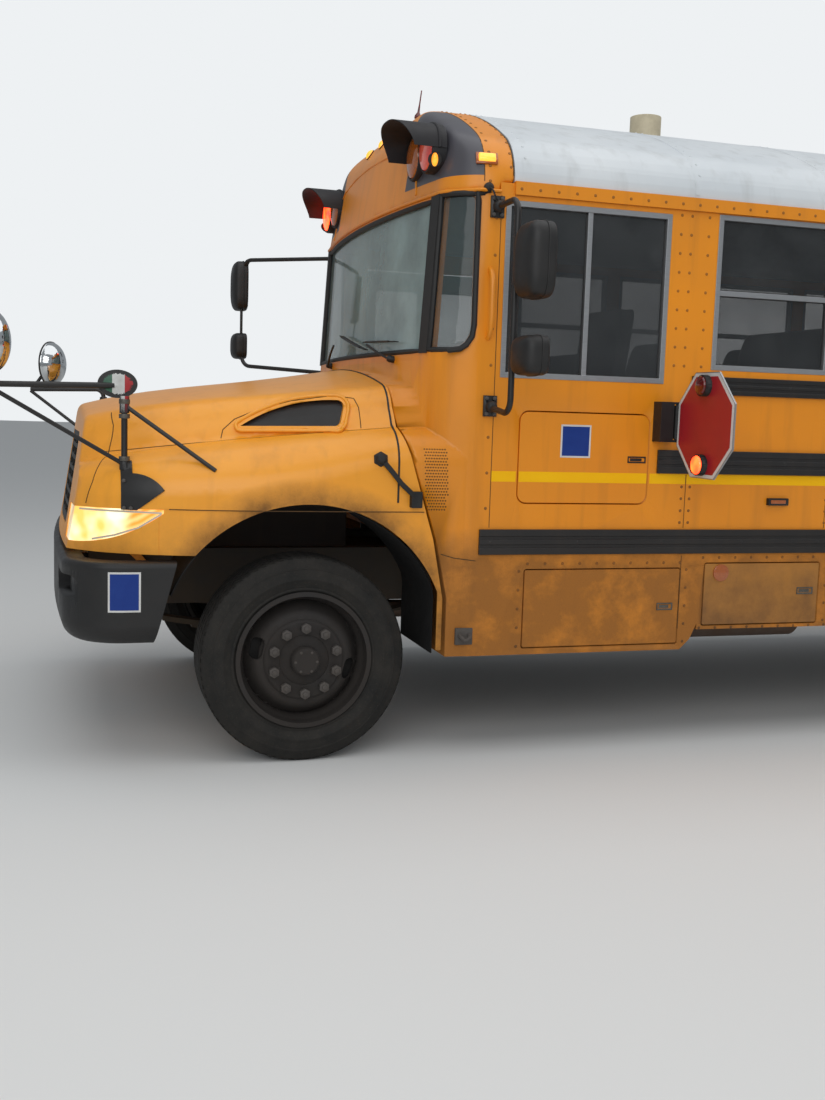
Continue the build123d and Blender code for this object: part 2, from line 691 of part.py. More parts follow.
def make_glazing():
    outer = front_bar(SILL_Z, NOSE_AT_SILL, HEADER_Z, NOSE_AT_HEADER, 14)
    inner = front_bar(SILL_Z - 1, NOSE_AT_SILL, HEADER_Z + 1, NOSE_AT_HEADER, 14 + GLASS, BODY_FRONT - 5)
    panes = (outer - inner) & windshield_openings()
    window = DRIVER_WINDOW
    mid = (window["front"] + window["back"]) / 2
    bar_w = FRAME_BAR
    y0 = HALF_WIDTH - 22
    sides = None
    for x0, x1 in ((window["back"] + bar_w, mid - bar_w / 2), (mid + bar_w / 2, window["front"] - bar_w)):
        pane = block(x0, x1, y0, y0 + GLASS, window["low"] + bar_w, window["high"] - bar_w)
        sides = pane if sides is None else sides + pane
    half = (PASSENGER_LOW + PASSENGER_HIGH) / 2
    passenger = None
    for front in window_fronts():
        x0 = front - PASSENGER_WIDTH + bar_w
        x1 = front - bar_w
        pair = block(x0, x1, y0, y0 + GLASS, PASSENGER_LOW + bar_w, half - bar_w / 2)
        pair += block(x0, x1, y0, y0 + GLASS, half + bar_w / 2, PASSENGER_HIGH - bar_w)
        passenger = pair if passenger is None else passenger + pair
    rear = block(BODY_REAR - 26, BODY_REAR - 20, 450, 1020, 1640, 2230)
    return panes + sides + both_sides(passenger) + both_sides(rear)


def window_frame(x0, x1, z0, z1, split_x=None, split_z=None):
    y0 = HALF_WIDTH - 34
    y1 = HALF_WIDTH + 3
    frame = block(x0, x1, y0, y1, z0, z1)
    frame -= block(x0 + FRAME_BAR, x1 - FRAME_BAR, 1100, 1300, z0 + FRAME_BAR, z1 - FRAME_BAR)
    if split_x is not None:
        frame += block(split_x - FRAME_BAR / 2, split_x + FRAME_BAR / 2, y0, y1 - 4, z0 + 5, z1 - 5)
    if split_z is not None:
        frame += block(x0 + 5, x1 - 5, y0, y1 - 4, split_z - FRAME_BAR / 2, split_z + FRAME_BAR / 2)
    return frame


def make_window_frames():
    window = DRIVER_WINDOW
    mid = (window["front"] + window["back"]) / 2
    driver = window_frame(window["back"], window["front"], window["low"], window["high"], split_x=mid)
    half = (PASSENGER_LOW + PASSENGER_HIGH) / 2
    frames = None
    for front in window_fronts():
        one = window_frame(front - PASSENGER_WIDTH, front, PASSENGER_LOW, PASSENGER_HIGH, split_z=half)
        frames = one if frames is None else frames + one
    return driver + both_sides(frames)


CAP_SIDE = [(CAP_BACK, HEADER_Z), (-400, HEADER_Z), (-400, 2790), (-548, 2810), (-600, 2900), (-690, 2960),
            (CAP_BACK, 3010)]


def cap_form():
    form = front_bar(HEADER_Z, NOSE_AT_HEADER, CROWN_Z, NOSE_AT_CROWN, 0, CAP_BACK)
    return form & roof_bar(-300, CAP_BACK, 0, 2400) & plate_xz(CAP_SIDE, -1300, 1300)


def make_front_cap():
    inner_side = [(x - (WALL if x > CAP_BACK else 5), z - WALL) for x, z in CAP_SIDE]
    inner_side[0] = (CAP_BACK - 5, HEADER_Z - 5)
    inner_side[1] = (-440, HEADER_Z - 5)
    outer = cap_form()
    cavity = front_bar(HEADER_Z - 1, NOSE_AT_HEADER, CROWN_Z, NOSE_AT_CROWN, WALL, CAP_BACK - 5)
    cavity = cavity & roof_bar(-300, CAP_BACK - 5, WALL, 2400) & plate_xz(inner_side, -1300, 1300)
    cap = outer - cavity
    cap -= block(-1000, BODY_FRONT, -1300, 1300, 2400, EAVE_Z)
    return cap


# Warning lamps: four at the front, four at the back, each in a hooded bezel
LAMP_RADIUS = 89
LAMP_Z = 2665
LAMP_X = -560
FRONT_LAMPS_Y = [770, 965]
REAR_LAMPS_Y = [640, 850]
HOOD_LENGTH = 175


def warning_lamp():
    outer = LAMP_RADIUS + 8
    bezel = Rot(0, 90, 0) * Cylinder(outer, 60)
    lens = Cylinder(LAMP_RADIUS, 44)
    lens = fillet(lens.edges().group_by(Axis.Z)[-1], 18)
    lens = Pos(24, 0, 0) * Rot(0, 90, 0) * lens
    tube = Rot(0, 90, 0) * (Cylinder(outer, 2 * HOOD_LENGTH) - Cylinder(outer - 4, 2 * HOOD_LENGTH + 2))
    sight = plate_xz([(0, 120), (HOOD_LENGTH, 120), (HOOD_LENGTH, 90), (34, -16), (0, -16)], -150, 150)
    return bezel + lens + (tube & sight)


def make_warning_lamps():
    front = None
    for y in FRONT_LAMPS_Y:
        lamp = Pos(LAMP_X, y, LAMP_Z) * warning_lamp()
        front = lamp if front is None else front + lamp
    rear = None
    for y in REAR_LAMPS_Y:
        lamp = Pos(BODY_REAR - WALL - 30, y, 2560) * Rot(0, 0, 180) * warning_lamp()
        rear = lamp if rear is None else rear + lamp
    return (both_sides(front) - cap_form()) + both_sides(rear)


def make_tail_lamps():
    back = BODY_REAR - WALL
    lamps = None
    for y, z, r in ((1040, 1420, 88), (1040, 1200, 88), (1060, 1010, 50)):
        lamp = Pos(back - 14, y, z) * Rot(0, 90, 0) * Cylinder(r, 28)
        lamps = lamp if lamps is None else lamps + lamp
    return both_sides(lamps)


def make_rub_rails():
    rails = None
    for low, high, front in LEFT_RAILS:
        rail = block(BODY_REAR, front, HALF_WIDTH, HALF_WIDTH + RAIL_STAND, low, high)
        for k in (1, 2):
            z = low + (high - low) * k / 3
            rail -= block(BODY_REAR - 1, front + 1, HALF_WIDTH + RAIL_STAND - 6, 1300, z - 7, z + 7)
        rails = rail if rails is None else rails + rail
    right = mirrored(rails)
    right -= block(ENTRANCE["back"] - 20, -700, -1300, -1200, 800, 1800)
    return rails + right


# Bumpers
def bumper_plan(z, inset):
    half = 1172 - inset
    corner = 250 - inset
    tip = 1030 - inset
    shoulder = tip - NOSE_BULGE
    turn = half - corner
    diagonal = corner * math.sqrt(0.5)
    heel = shoulder - corner
    edges = [
        Line((400, -half, z), (heel, -half, z)),
        ThreePointArc((heel, -half, z), (heel + diagonal, -turn - diagonal, z), (shoulder, -turn, z)),
        ThreePointArc((shoulder, -turn, z), (tip, 0, z), (shoulder, turn, z)),
        ThreePointArc((shoulder, turn, z), (heel + diagonal, turn + diagonal, z), (heel, half, z)),
        Line((heel, half, z), (400, half, z)),
        Line((400, half, z), (400, -half, z)),
    ]
    return make_face(edges)


def make_front_bumper():
    outer = extrude(bumper_plan(540, 0), amount=345, dir=(0, 0, 1))
    rim = outer.edges().filter_by(lambda e: e.center().X > 410)
    outer = fillet([e for e in rim if e.center().Z < 541], 84)
    outer = fillet([e for e in outer.edges() if e.center().X > 410 and e.center().Z > 884], 26)
    shell = outer - extrude(bumper_plan(500, 92), amount=420, dir=(0, 0, 1))
    keep = plate_xz([(548, 885), (1100, 885), (1100, 540), (640, 540)], -1300, 1300)
    shell = shell & keep
    core = extrude(bumper_plan(500, 46), amount=420, dir=(0, 0, 1))
    for side in (1, -1):
        mouth = Plane(origin=(700, side * 925, 775), x_dir=(0, 1, 0), z_dir=(1, 0, 0)) * SlotOverall(330, 92)
        shell -= extrude(mouth, amount=400, dir=(1, 0, 0)) - core
        y = side * RAIL_Y
        shell += block(RAIL_FRONT, 944, y - 38, y + 38, 620, 840)
    return shell


def make_rear_bumper():
    back = REAR_BUMPER_BACK
    bumper = block(back, back + 12, -1190, 1190, 500, 745)
    bumper += block(back, BODY_REAR - WALL, -1190, 1190, 735, 745)
    bumper += block(back, BODY_REAR - WALL, -1190, 1190, 500, 510)
    for side in (1, -1):
        near = side * (RAIL_Y - 30)
        far = side * (RAIL_Y + RAIL_FLANGE / 2 - 16)
        bumper += block(back + 10, RAIL_BACK + 200, near, far, RAIL_LOW + RAIL_WEB, 628)
    return bumper


# Hood: one moulding with its fenders, given as sections across the bus from ahead of the nose to the cowl
HOOD_SECTIONS = [
    # x, fender half width, shoulder z, foot y, foot z, side y, side z, brow y, brow z, crown z
    (1040, 700, 1110, 620, 1225, 575, 1330, 480, 1425, 1470),
    (880, 965, 1130, 805, 1285, 745, 1385, 635, 1475, 1522),
    (600, 1120, 1150, 905, 1345, 850, 1440, 740, 1532, 1585),
    (100, 1190, 1180, 965, 1412, 915, 1500, 810, 1592, 1655),
    (-380, 1190, 1282, 1055, 1460, 995, 1546, 885, 1646, 1731),
    (-640, 1198, 1302, 1070, 1474, 1010, 1560, 900, 1660, 1744),
]
FENDER_BULGE = 0.2
SIDE_BULGE = 0.03
BROW_BULGE = 0.13


def arc_middle(start, end, bulge):
    y = (start[0] + end[0]) / 2 + bulge * (end[1] - start[1])
    z = (start[1] + end[1]) / 2 + bulge * (start[0] - end[0])
    return (y, z)


def hood_section(row, inset):
    x, half, shoulder, foot_y, foot_z, side_y, side_z, brow_y, brow_z, crown = row
    low = 440
    points = [(half, shoulder), (foot_y, foot_z), (side_y, side_z), (brow_y, brow_z)]
    points = [(half - inset, low)] + [(y - inset, z - inset) for y, z in points]
    near = [Line((x, *points[0]), (x, *points[1]))]
    far = [Line((x, -points[1][0], points[1][1]), (x, -points[0][0], low))]
    for k, bulge in enumerate((FENDER_BULGE, SIDE_BULGE, BROW_BULGE), start=1):
        start, end = points[k], points[k + 1]
        y, z = arc_middle(start, end, bulge)
        near.append(ThreePointArc((x, *start), (x, y, z), (x, *end)))
        far.append(ThreePointArc((x, -end[0], end[1]), (x, -y, z), (x, -start[0], start[1])))
    y, z = points[-1]
    crest = ThreePointArc((x, y, z), (x, 0, crown - inset), (x, -y, z))
    base = Line((x, -points[0][0], low), (x, points[0][0], low))
    return make_face([*near, crest, *reversed(far), base])


def hood_form(inset):
    return loft([hood_section(row, inset) for row in HOOD_SECTIONS], ruled=False)


def nose_plan(z, inset):
    tip = NOSE_X - NOSE_LEAN * (z - HOOD_LOW) - inset
    edge = tip - NOSE_BULGE * 2.2
    return make_face([
        ThreePointArc((edge, -1300, z), (tip, 0, z), (edge, 1300, z)),
        Line((edge, 1300, z), (-700, 1300, z)),
        Line((-700, 1300, z), (-700, -1300, z)),
        Line((-700, -1300, z), (edge, -1300, z)),
    ])


def nose_form(inset):
    return loft([nose_plan(300, inset), nose_plan(1900, inset)], ruled=True)


def hood_shape(inset):
    shape = hood_form(inset) & nose_form(inset)
    rolled = [e for e in shape.edges() if 880 < e.center().X < 960 and e.center().Z > 1300 - inset
              and e.bounding_box().size.X < 30 and e.bounding_box().size.Y > 30]
    return fillet(rolled, NOSE_ROUND - inset)


def gooseneck(side):
    # The arm leaves the pivot rearwards, then curves round it to the nose, so it clears the bumper when open.
    def spot(radius, angle):
        turn = math.radians(angle)
        return (HOOD_PIVOT_X + radius * math.sin(turn), side * HOOD_ARM_Y, HOOD_PIVOT_Z + radius * math.cos(turn))
    near = HOOD_ARM_RADIUS - 16
    far = HOOD_ARM_RADIUS + 18
    middle = (HOOD_ARM_BACK + HOOD_ARM_FRONT) / 2
    band = make_face([
        ThreePointArc(spot(near, HOOD_ARM_BACK), spot(near, middle), spot(near, HOOD_ARM_FRONT)),
        Line(spot(near, HOOD_ARM_FRONT), spot(far, HOOD_ARM_FRONT)),
        ThreePointArc(spot(far, HOOD_ARM_FRONT), spot(far, middle), spot(far, HOOD_ARM_BACK)),
        Line(spot(far, HOOD_ARM_BACK), spot(near, HOOD_ARM_BACK)),
    ])
    strut = make_face(Polyline(spot(20, HOOD_ARM_BACK - 90), spot(20, HOOD_ARM_BACK + 90),
                               spot(far, HOOD_ARM_BACK + 5), spot(far, HOOD_ARM_BACK), close=True))
    arm = extrude(band, amount=12, dir=(0, 1, 0)) + extrude(strut, amount=12, dir=(0, 1, 0))
    arm += Pos(HOOD_PIVOT_X, side * HOOD_ARM_Y + 6, HOOD_PIVOT_Z) * Rot(90, 0, 0) * Cylinder(22, 12)
    arm -= Pos(HOOD_PIVOT_X, side * HOOD_ARM_Y + 6, HOOD_PIVOT_Z) * Rot(90, 0, 0) * Cylinder(12 + RUNNING_FIT, 40)
    return Pos(0, -6, 0) * arm


def hood_side_cut():
    keep = plate_xz([(1200, HOOD_LOW), (1200, 1800), (-385, 1800), (-400, 1450), (-545, 980), (-595, 720),
                     (-595, 490), (0, 490), (0, HOOD_LOW)], -1300, 1300)
    arch = Pos(0, 0, ARCH_Z) * Rot(90, 0, 0) * Cylinder(ARCH_RADIUS, 2600)
    arch += block(-ARCH_RADIUS, ARCH_RADIUS, -1300, 1300, 300, ARCH_Z)
    arch = arch & block(ARCH_BACK, 1000, -1300, 1300, 300, 1300)
    return keep - arch


def lamp_cut(grow):
    low = 945 - grow
    edges = [
        Line((1100, 0, low), (950, 0, low)),
        ThreePointArc((950, 0, low), (770, 0, 985 - grow), (600 - grow, 0, 1082)),
        Line((600 - grow, 0, 1082), (600 - grow, 0, 1098 + grow)),
        Line((600 - grow, 0, 1098 + grow), (1100, 0, 1092 + grow)),
        Line((1100, 0, 1092 + grow), (1100, 0, low)),
    ]
    return both_sides(Pos(0, 690 - grow, 0) * extrude(make_face(edges), amount=610 + grow, dir=(0, 1, 0)))


# Grille opening: a trapezium with round corners in the nose
def grille_cut(grow):
    outline = [(-590 - grow, 985 - grow), (590 + grow, 985 - grow), (545 + grow, 1395 + grow), (-545 - grow, 1395 + grow)]
    face = make_face(Polyline(*[(700, y, z) for y, z in outline], close=True))
    face = fillet(face.vertices(), 55 + grow)
    return extrude(face, amount=500, dir=(1, 0, 0))


# Side vent: a teardrop with a blunt rear end, inside a raised lip
VENT_LIP = 6


def vent_cut(grow):
    edges = [
        Line((262, 0, 1446), (-160, 0, 1458)),
        Line((-160, 0, 1458), (-196, 0, 1570)),
        ThreePointArc((-196, 0, 1570), (40, 0, 1545), (262, 0, 1446)),
    ]
    face = make_face(edges)
    face = fillet(face.vertices().sort_by(Axis.X)[:2], 26)
    face = offset(face, amount=grow) if grow else face
    return both_sides(Pos(0, 780, 0) * extrude(face, amount=400, dir=(0, 1, 0)))


def make_hood():
    outer = hood_shape(0)
    shell = (outer - hood_shape(HOOD_WALL)) & hood_side_cut()
    # The skin is set back below the fender's lower seam.
    shell -= (hood_form(-20) - hood_form(SEAM_STEP)) & block(-700, 620, -1300, 1300, 400, SEAM_Z)
    shell -= lamp_cut(0) + grille_cut(0)
    shell += (hood_form(-VENT_LIP) - hood_form(HOOD_WALL / 2)) & vent_cut(22)
    shell -= vent_cut(0)
    for side in (1, -1):
        shell += gooseneck(side) & nose_form(2)
    return shell


def make_hood_vents():
    return (hood_form(HOOD_WALL) - hood_form(HOOD_WALL + 6)) & vent_cut(12)


def make_headlamps():
    body = (hood_shape(3) - (hood_form(60) & nose_form(60))) & lamp_cut(0)
    return body


def make_grille():
    frame = grille_cut(0) - grille_cut(-40)
    for k in range(6):
        z = 1058 + k * 52
        frame += block(700, 1200, -580, 580, z, z + 18)
    for y in (-280, 0, 280):
        frame += block(700, 1200, y - 8, y + 8, 1010, 1375)
    return (frame & grille_cut(0)) & (nose_form(4) - nose_form(44))


# Mirrors
CROSSVIEW_POST_X = 752
CROSSVIEW_POST_Y = 1000
DOME_SIZE = (78, 100, 124)


def half_ball(size, way):
    ball = scale(Sphere(1), by=size)
    return ball & Pos(way * size[0], 0, 0) * Box(2 * size[0], 3 * size[1], 3 * size[2])


def dome(size):
    # A mirrored dome that faces +X, its rim and its shallow back shell
    deep, wide, tall = size
    rim = scale(Cylinder(1, 1), by=(tall + 4, wide + 4, 9))
    return half_ball(size, 1) + Rot(0, 90, 0) * rim + half_ball((0.3 * deep, wide, tall), -1)


def crossview(reach_x, reach_y, dome_x, dome_y, dome_z, aim):
    x, y = CROSSVIEW_POST_X, CROSSVIEW_POST_Y
    parts = bar((x, y, 1120), (x, y, 1560), 13)
    parts += bent_tube([(x, y, 1500), (x, y, 1600), (reach_x, reach_y, 1588)], 12, 42)
    parts += bar((x, y, 1275), (reach_x, reach_y, 1580), 9)
    parts += bar((x, y, 1520), (392, 1135, 1262), 9)
    parts += bar((reach_x - 4, reach_y, 1584), (dome_x, dome_y, dome_z), 9)
    for z, tall in ((1272, 34), (1522, 70)):
        parts += Pos(x, y, z) * Cylinder(20, tall)
    foot = make_face([
        Line((768, 0, 1292), (768, 0, 1092)),
        Line((768, 0, 1092), (706, 0, 1092)),
        Line((706, 0, 1092), (598, 0, 1178)),
        ThreePointArc((598, 0, 1178), (655, 0, 1228), (722, 0, 1242)),
        Line((722, 0, 1242), (722, 0, 1292)),
        Line((722, 0, 1292), (768, 0, 1292)),
    ])
    skin = hood_form(-6) - hood_form(0)
    parts += skin & Pos(0, 900, 0) * extrude(foot, amount=300, dir=(0, 1, 0))
    return parts + Pos(dome_x, dome_y, dome_z) * Rot(0, 0, aim) * dome(DOME_SIZE)


def make_crossview_mirrors():
    left = crossview(1278, 1090, 1268, 1100, 1752, 195)
    left += Pos(CROSSVIEW_POST_X + 28, CROSSVIEW_POST_Y + 8, 1606) * Rot(0, 0, -90) * dome((26, 76, 54))
    left += bar((CROSSVIEW_POST_X, CROSSVIEW_POST_Y, 1540), (CROSSVIEW_POST_X + 28, CROSSVIEW_POST_Y + 8, 1590), 9)
    right = mirrored(crossview(1150, 1085, 1040, 1110, 1735, 218))
    return (left + right) - hood_form(0)


def mirror_head(x, y, z, deep, wide, tall):
    head = Pos(x, y, z) * Box(deep, wide, tall)
    head = fillet(head.edges().group_by(Axis.X)[-1], radius=min(deep, wide) * 0.3)
    return head


def make_left_mirror():
    x = -775
    tube = bent_tube([(x, 1210, 2405), (x, 1450, 2405), (x, 1450, 1530), (x, 1210, 1560)], 13, 60)
    mounts = block(x - 30, x + 30, HALF_WIDTH, HALF_WIDTH + 12, 2360, 2450)
    mounts += block(x - 30, x + 30, HALF_WIDTH, HALF_WIDTH + 12, 1520, 1610)
    heads = mirror_head(x - 20, 1580, 2145, 110, 200, 290)
    heads += mirror_head(x - 20, 1570, 1770, 100, 190, 150)
    links = bar((x, 1450, 2145), (x, 1500, 2145), 12) + bar((x, 1450, 1770), (x, 1490, 1770), 12)
    return tube + mounts + heads + links


def make_right_mirror():
    x = -120
    tube = bent_tube([(-640, -1115, 2440), (x, -1520, 2440), (x, -1520, 1785), (-610, -1105, 1745)], 12, 60)
    heads = mirror_head(x + 14, -1595, 2285, 84, 180, 296)
    heads += mirror_head(x + 14, -1595, 1910, 80, 170, 152)
    links = bar((x, -1520, 2285), (x, -1560, 2285), 12) + bar((x, -1520, 1910), (x, -1560, 1910), 12)
    body = cowl_form() + front_bar(SILL_Z, NOSE_AT_SILL, HEADER_Z, NOSE_AT_HEADER, 0)
    return (tube - body) + heads + links


# Stop sign and its housing
def make_stop_arm_bracket():
    box = block(SIGN_X + 20, SIGN_X + 85, HALF_WIDTH, SIGN_HINGE_Y + 10, SIGN_Z - 80, SIGN_Z + 100)
    pin = Pos(SIGN_X, SIGN_HINGE_Y, SIGN_Z + 10) * Cylinder(7, 176)
    lugs = block(SIGN_X - 12, SIGN_X + 20, HALF_WIDTH, SIGN_HINGE_Y + 10, SIGN_Z - 80, SIGN_Z - 70)
    lugs += block(SIGN_X - 12, SIGN_X + 20, HALF_WIDTH, SIGN_HINGE_Y + 10, SIGN_Z + 90, SIGN_Z + 100)
    return box + pin + lugs


def make_stop_sign():
    centre_y = SIGN_HINGE_Y + 16 + SIGN_ACROSS / 2
    octagon = RegularPolygon(SIGN_ACROSS / 2, 8, major_radius=False, rotation=22.5)
    blade = extrude(Plane(origin=(SIGN_X - 4, centre_y, SIGN_Z), z_dir=(1, 0, 0)) * octagon, amount=8)
    for z in (SIGN_Z + 170, SIGN_Z - 170):
        blade += Pos(SIGN_X, centre_y, z) * Rot(0, 90, 0) * Cylinder(46, 64)
    knuckle = Cylinder(14, 150) - Cylinder(7 + RUNNING_FIT, 160)
    knuckle = Pos(SIGN_X, SIGN_HINGE_Y, SIGN_Z + 10) * knuckle
    leaf = block(SIGN_X - 4, SIGN_X + 4, SIGN_HINGE_Y + 11, centre_y, SIGN_Z - 60, SIGN_Z + 80)
    return blade + knuckle + leaf


# Inside the cabin
def make_dashboard():
    profile = [(-500, 1300), (-400, 1540), (-400, 1712), (-700, 1700), (-780, 1600), (-760, 1420), (-700, 1300)]
    return plate_xz(profile, -1080, 1100) & cowl_cavity()


def make_steering_wheel():
    centre = (-905, 640, 1660)
    tilt = Plane(origin=centre, z_dir=(-0.45, 0, 0.9))
    ring = Location(tilt) * Torus(225, 15)
    hub = Location(tilt) * Cylinder(50, 40)
    spokes = None
    for angle in (90, 210, 330):
        spoke = Location(tilt) * (Rot(0, 0, angle) * (Pos(120, 0, -4) * Box(230, 30, 12)))
        spokes = spoke if spokes is None else spokes + spoke
    column = bar((-905, 640, 1655), (-735, 640, 1315), 32)
    return ring + hub + spokes + (column - make_dashboard())


def make_driver_seat():
    pedestal = block(-1500, -1180, 480, 800, FLOOR_TOP, 1250)
    cushion = block(-1560, -1080, 410, 870, 1250, 1370)
    back = plate_xz([(-1560, 1370), (-1650, 2020), (-1560, 2060), (-1450, 1370)], 420, 860)
    return pedestal + cushion + back


SEAT_PITCH = 711
SEAT_ROWS = 11
SEAT_FIRST = -2330
SEAT_INNER = 190
SEAT_OUTER = 1140


def seat_rows():
    return [SEAT_FIRST - k * SEAT_PITCH for k in range(SEAT_ROWS)]


def make_seat_frames():
    frames = None
    for x in seat_rows():
        one = block(x - 200, x + 180, SEAT_INNER + 40, SEAT_INNER + 70, FLOOR_TOP + 270, FLOOR_TOP + 300)
        one += block(x - 200, x + 180, SEAT_OUTER - 60, SEAT_OUTER - 30, FLOOR_TOP + 270, FLOOR_TOP + 300)
        one += block(x + 150, x + 180, SEAT_INNER + 40, SEAT_OUTER + 27, FLOOR_TOP + 270, FLOOR_TOP + 300)
        one += block(x - 200, x - 170, SEAT_INNER + 40, SEAT_OUTER + 27, FLOOR_TOP + 270, FLOOR_TOP + 300)
        one += block(x + 120, x + 150, SEAT_INNER + 40, SEAT_INNER + 70, FLOOR_TOP, FLOOR_TOP + 280)
        one += block(x - 170, x - 140, SEAT_INNER + 40, SEAT_INNER + 70, FLOOR_TOP, FLOOR_TOP + 280)
        frames = one if frames is None else frames + one
    return both_sides(frames)


def make_seat_cushions():
    seats = None
    for x in seat_rows():
        low = FLOOR_TOP + 300
        one = block(x - 190, x + 210, SEAT_INNER, SEAT_OUTER, low, low + 120)
        back = [
            (x - 180, low), (x - 270, low), (x - 340, low + 720), (x - 320, low + 760), (x - 265, low + 760),
            (x - 245, low + 720),
        ]
        one += plate_xz(back, SEAT_INNER, SEAT_OUTER)
        seats = one if seats is None else seats + one
    return both_sides(seats)


# Other pieces below and on the roof
def make_engine():
    engine = block(-380, 560, -290, 290, 640, 1380)
    for x in (-250, 400):
        engine += block(x - 45, x + 45, -RAIL_Y - 30, RAIL_Y + 30, 690, 720)
    return engine


def make_driveshaft():
    front = bar((-1000, 0, 700), (-3300, 0, 660), 45)
    rear = bar((-3300, 0, 660), (-WHEELBASE + 290, 0, TYRE_RADIUS + 10), 45)
    gearbox = bar((-380, 0, 720), (-1010, 0, 695), 150) & block(-1010, -380, -200, 200, 500, 900)
    carrier = block(-3340, -3306, -140, 140, 600, 800)
    return (front + rear + gearbox + carrier) - make_rear_axle()


def make_fuel_tank():
    tank = block(-3900, -2700, -1120, -560, 480, 830)
    tank = fillet(tank.edges().filter_by(Axis.X), radius=70)
    for x in (-3700, -2900):
        tank += block(x - 25, x + 25, -1130, -468, 830, 845)
        tank += block(x - 25, x + 25, -560, -468, 640, 845)
    return tank


def make_exhaust():
    pipe = bent_tube([(-330, 200, 640), (-330, 200, 510), (-860, 220, 510), (-1450, 700, 540), (-2000, 700, 540)], 45, 80)
    muffler = bar((-1990, 700, 540), (-2700, 700, 540), 125)
    tail = bent_tube([(-2690, 700, 540), (-4900, 700, 540), (-5500, 300, 545), (-5900, 300, 690), (-9000, 300, 690),
                      (-9450, 300, 440), (-9930, 300, 440)], 45, 120)
    straps = None
    for x in (-2100, -2590):
        strap = block(x - 15, x + 15, RAIL_Y + RAIL_FLANGE / 2, 700, 640, 660)
        straps = strap if straps is None else straps + strap
    for x in (-7300, -8500):
        straps += block(x - 12, x + 12, 288, 312, 690, 750)
    return pipe + muffler + tail + straps


def make_roof_hatches():
    hatches = None
    for x in (-3600, -7600):
        hatch = block(x - 330, x + 330, -330, 330, CROWN_Z - 40, CROWN_Z + 55)
        hatches = hatch if hatches is None else hatches + hatch
    return hatches - roof_bar(CAP_BACK, BODY_REAR, 0, 2400)


def make_roof_vent():
    vent = Pos(-2080, 0, CROWN_Z + 75) * Cylinder(84, 170)
    return vent - roof_bar(CAP_BACK, BODY_REAR, 0, 2400)


def build_all():
    nodes = {
        "chassis_frame": make_chassis_frame(),
        "crossmembers": make_crossmembers(),
        "engine": make_engine(),
        "front_axle": make_front_axle(),
        "rear_axle": make_rear_axle(),
        "leaf_springs": make_leaf_springs(),
        "driveshaft": make_driveshaft(),
        "fuel_tank": make_fuel_tank(),
        "exhaust": make_exhaust(),
        "front_bumper": make_front_bumper(),
        "rear_bumper": make_rear_bumper(),
        "floor": make_floor(),
        "left_side_wall": make_left_side_wall(),
        "right_side_wall": make_right_side_wall(),
        "roof": make_roof(),
        "front_cap": make_front_cap(),
        "rear_wall": make_rear_wall(),
        "cowl": make_cowl(),
        "windshield_frame": make_windshield_frame(),
        "glazing": make_glazing(),
        "window_frames": make_window_frames(),
        "rub_rails": make_rub_rails(),
        "warning_lamps": make_warning_lamps(),
        "tail_lamps": make_tail_lamps(),
        "dashboard": make_dashboard(),
        "steering_wheel": make_steering_wheel(),
        "driver_seat": make_driver_seat(),
        "seat_frames": make_seat_frames(),
        "seat_cushions": make_seat_cushions(),
        "entrance_steps": make_entrance_steps(),
        "left_mirror": make_left_mirror(),
        "right_mirror": make_right_mirror(),
        "stop_arm_bracket": make_stop_arm_bracket(),
        "stop_sign": make_stop_sign(),
        "roof_hatches": make_roof_hatches(),
        "roof_vent": make_roof_vent(),
        "hood": make_hood(),
        "hood_vents": make_hood_vents(),
        "grille": make_grille(),
        "headlamps": make_headlamps(),
        "crossview_mirrors": make_crossview_mirrors(),
        "emergency_door": make_emergency_door(),
        "knuckle_left": make_knuckle(1),
        "knuckle_right": make_knuckle(-1),
        "tie_rod": make_tie_rod(),
    }
    nodes.update(make_side_doors())
    nodes.update(make_entrance_doors())
    nodes.update(make_wheels())
    return nodes


os.makedirs("parts", exist_ok=True)
for node, shape in build_all().items():
    export_step(Pos(ORIGIN_SHIFT, 0, 0) * shape, f"parts/{node}.step")
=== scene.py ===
import json
import math

import bmesh
import bpy
from mathutils import Matrix, Vector
from mathutils.bvhtree import BVHTree

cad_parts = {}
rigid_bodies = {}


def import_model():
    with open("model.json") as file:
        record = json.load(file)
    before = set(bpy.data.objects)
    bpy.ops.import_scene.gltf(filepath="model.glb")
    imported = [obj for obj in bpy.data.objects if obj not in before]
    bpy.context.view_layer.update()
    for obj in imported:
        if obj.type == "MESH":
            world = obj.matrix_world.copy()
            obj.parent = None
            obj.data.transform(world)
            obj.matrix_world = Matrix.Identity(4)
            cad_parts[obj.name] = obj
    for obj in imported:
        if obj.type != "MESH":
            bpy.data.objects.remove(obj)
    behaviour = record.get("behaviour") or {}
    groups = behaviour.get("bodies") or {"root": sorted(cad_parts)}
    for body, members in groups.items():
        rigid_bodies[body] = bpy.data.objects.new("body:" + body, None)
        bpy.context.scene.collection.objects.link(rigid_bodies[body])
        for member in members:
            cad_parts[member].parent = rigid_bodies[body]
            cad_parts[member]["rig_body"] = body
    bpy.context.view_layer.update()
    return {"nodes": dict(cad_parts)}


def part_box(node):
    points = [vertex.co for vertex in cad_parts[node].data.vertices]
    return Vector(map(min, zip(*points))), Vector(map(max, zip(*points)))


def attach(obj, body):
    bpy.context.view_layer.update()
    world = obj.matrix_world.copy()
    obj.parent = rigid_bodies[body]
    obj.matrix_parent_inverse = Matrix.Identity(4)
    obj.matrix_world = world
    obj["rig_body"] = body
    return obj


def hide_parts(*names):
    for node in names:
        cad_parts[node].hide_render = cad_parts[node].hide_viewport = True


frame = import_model()
node = frame["nodes"]
bpy.ops.object.select_all(action="DESELECT")

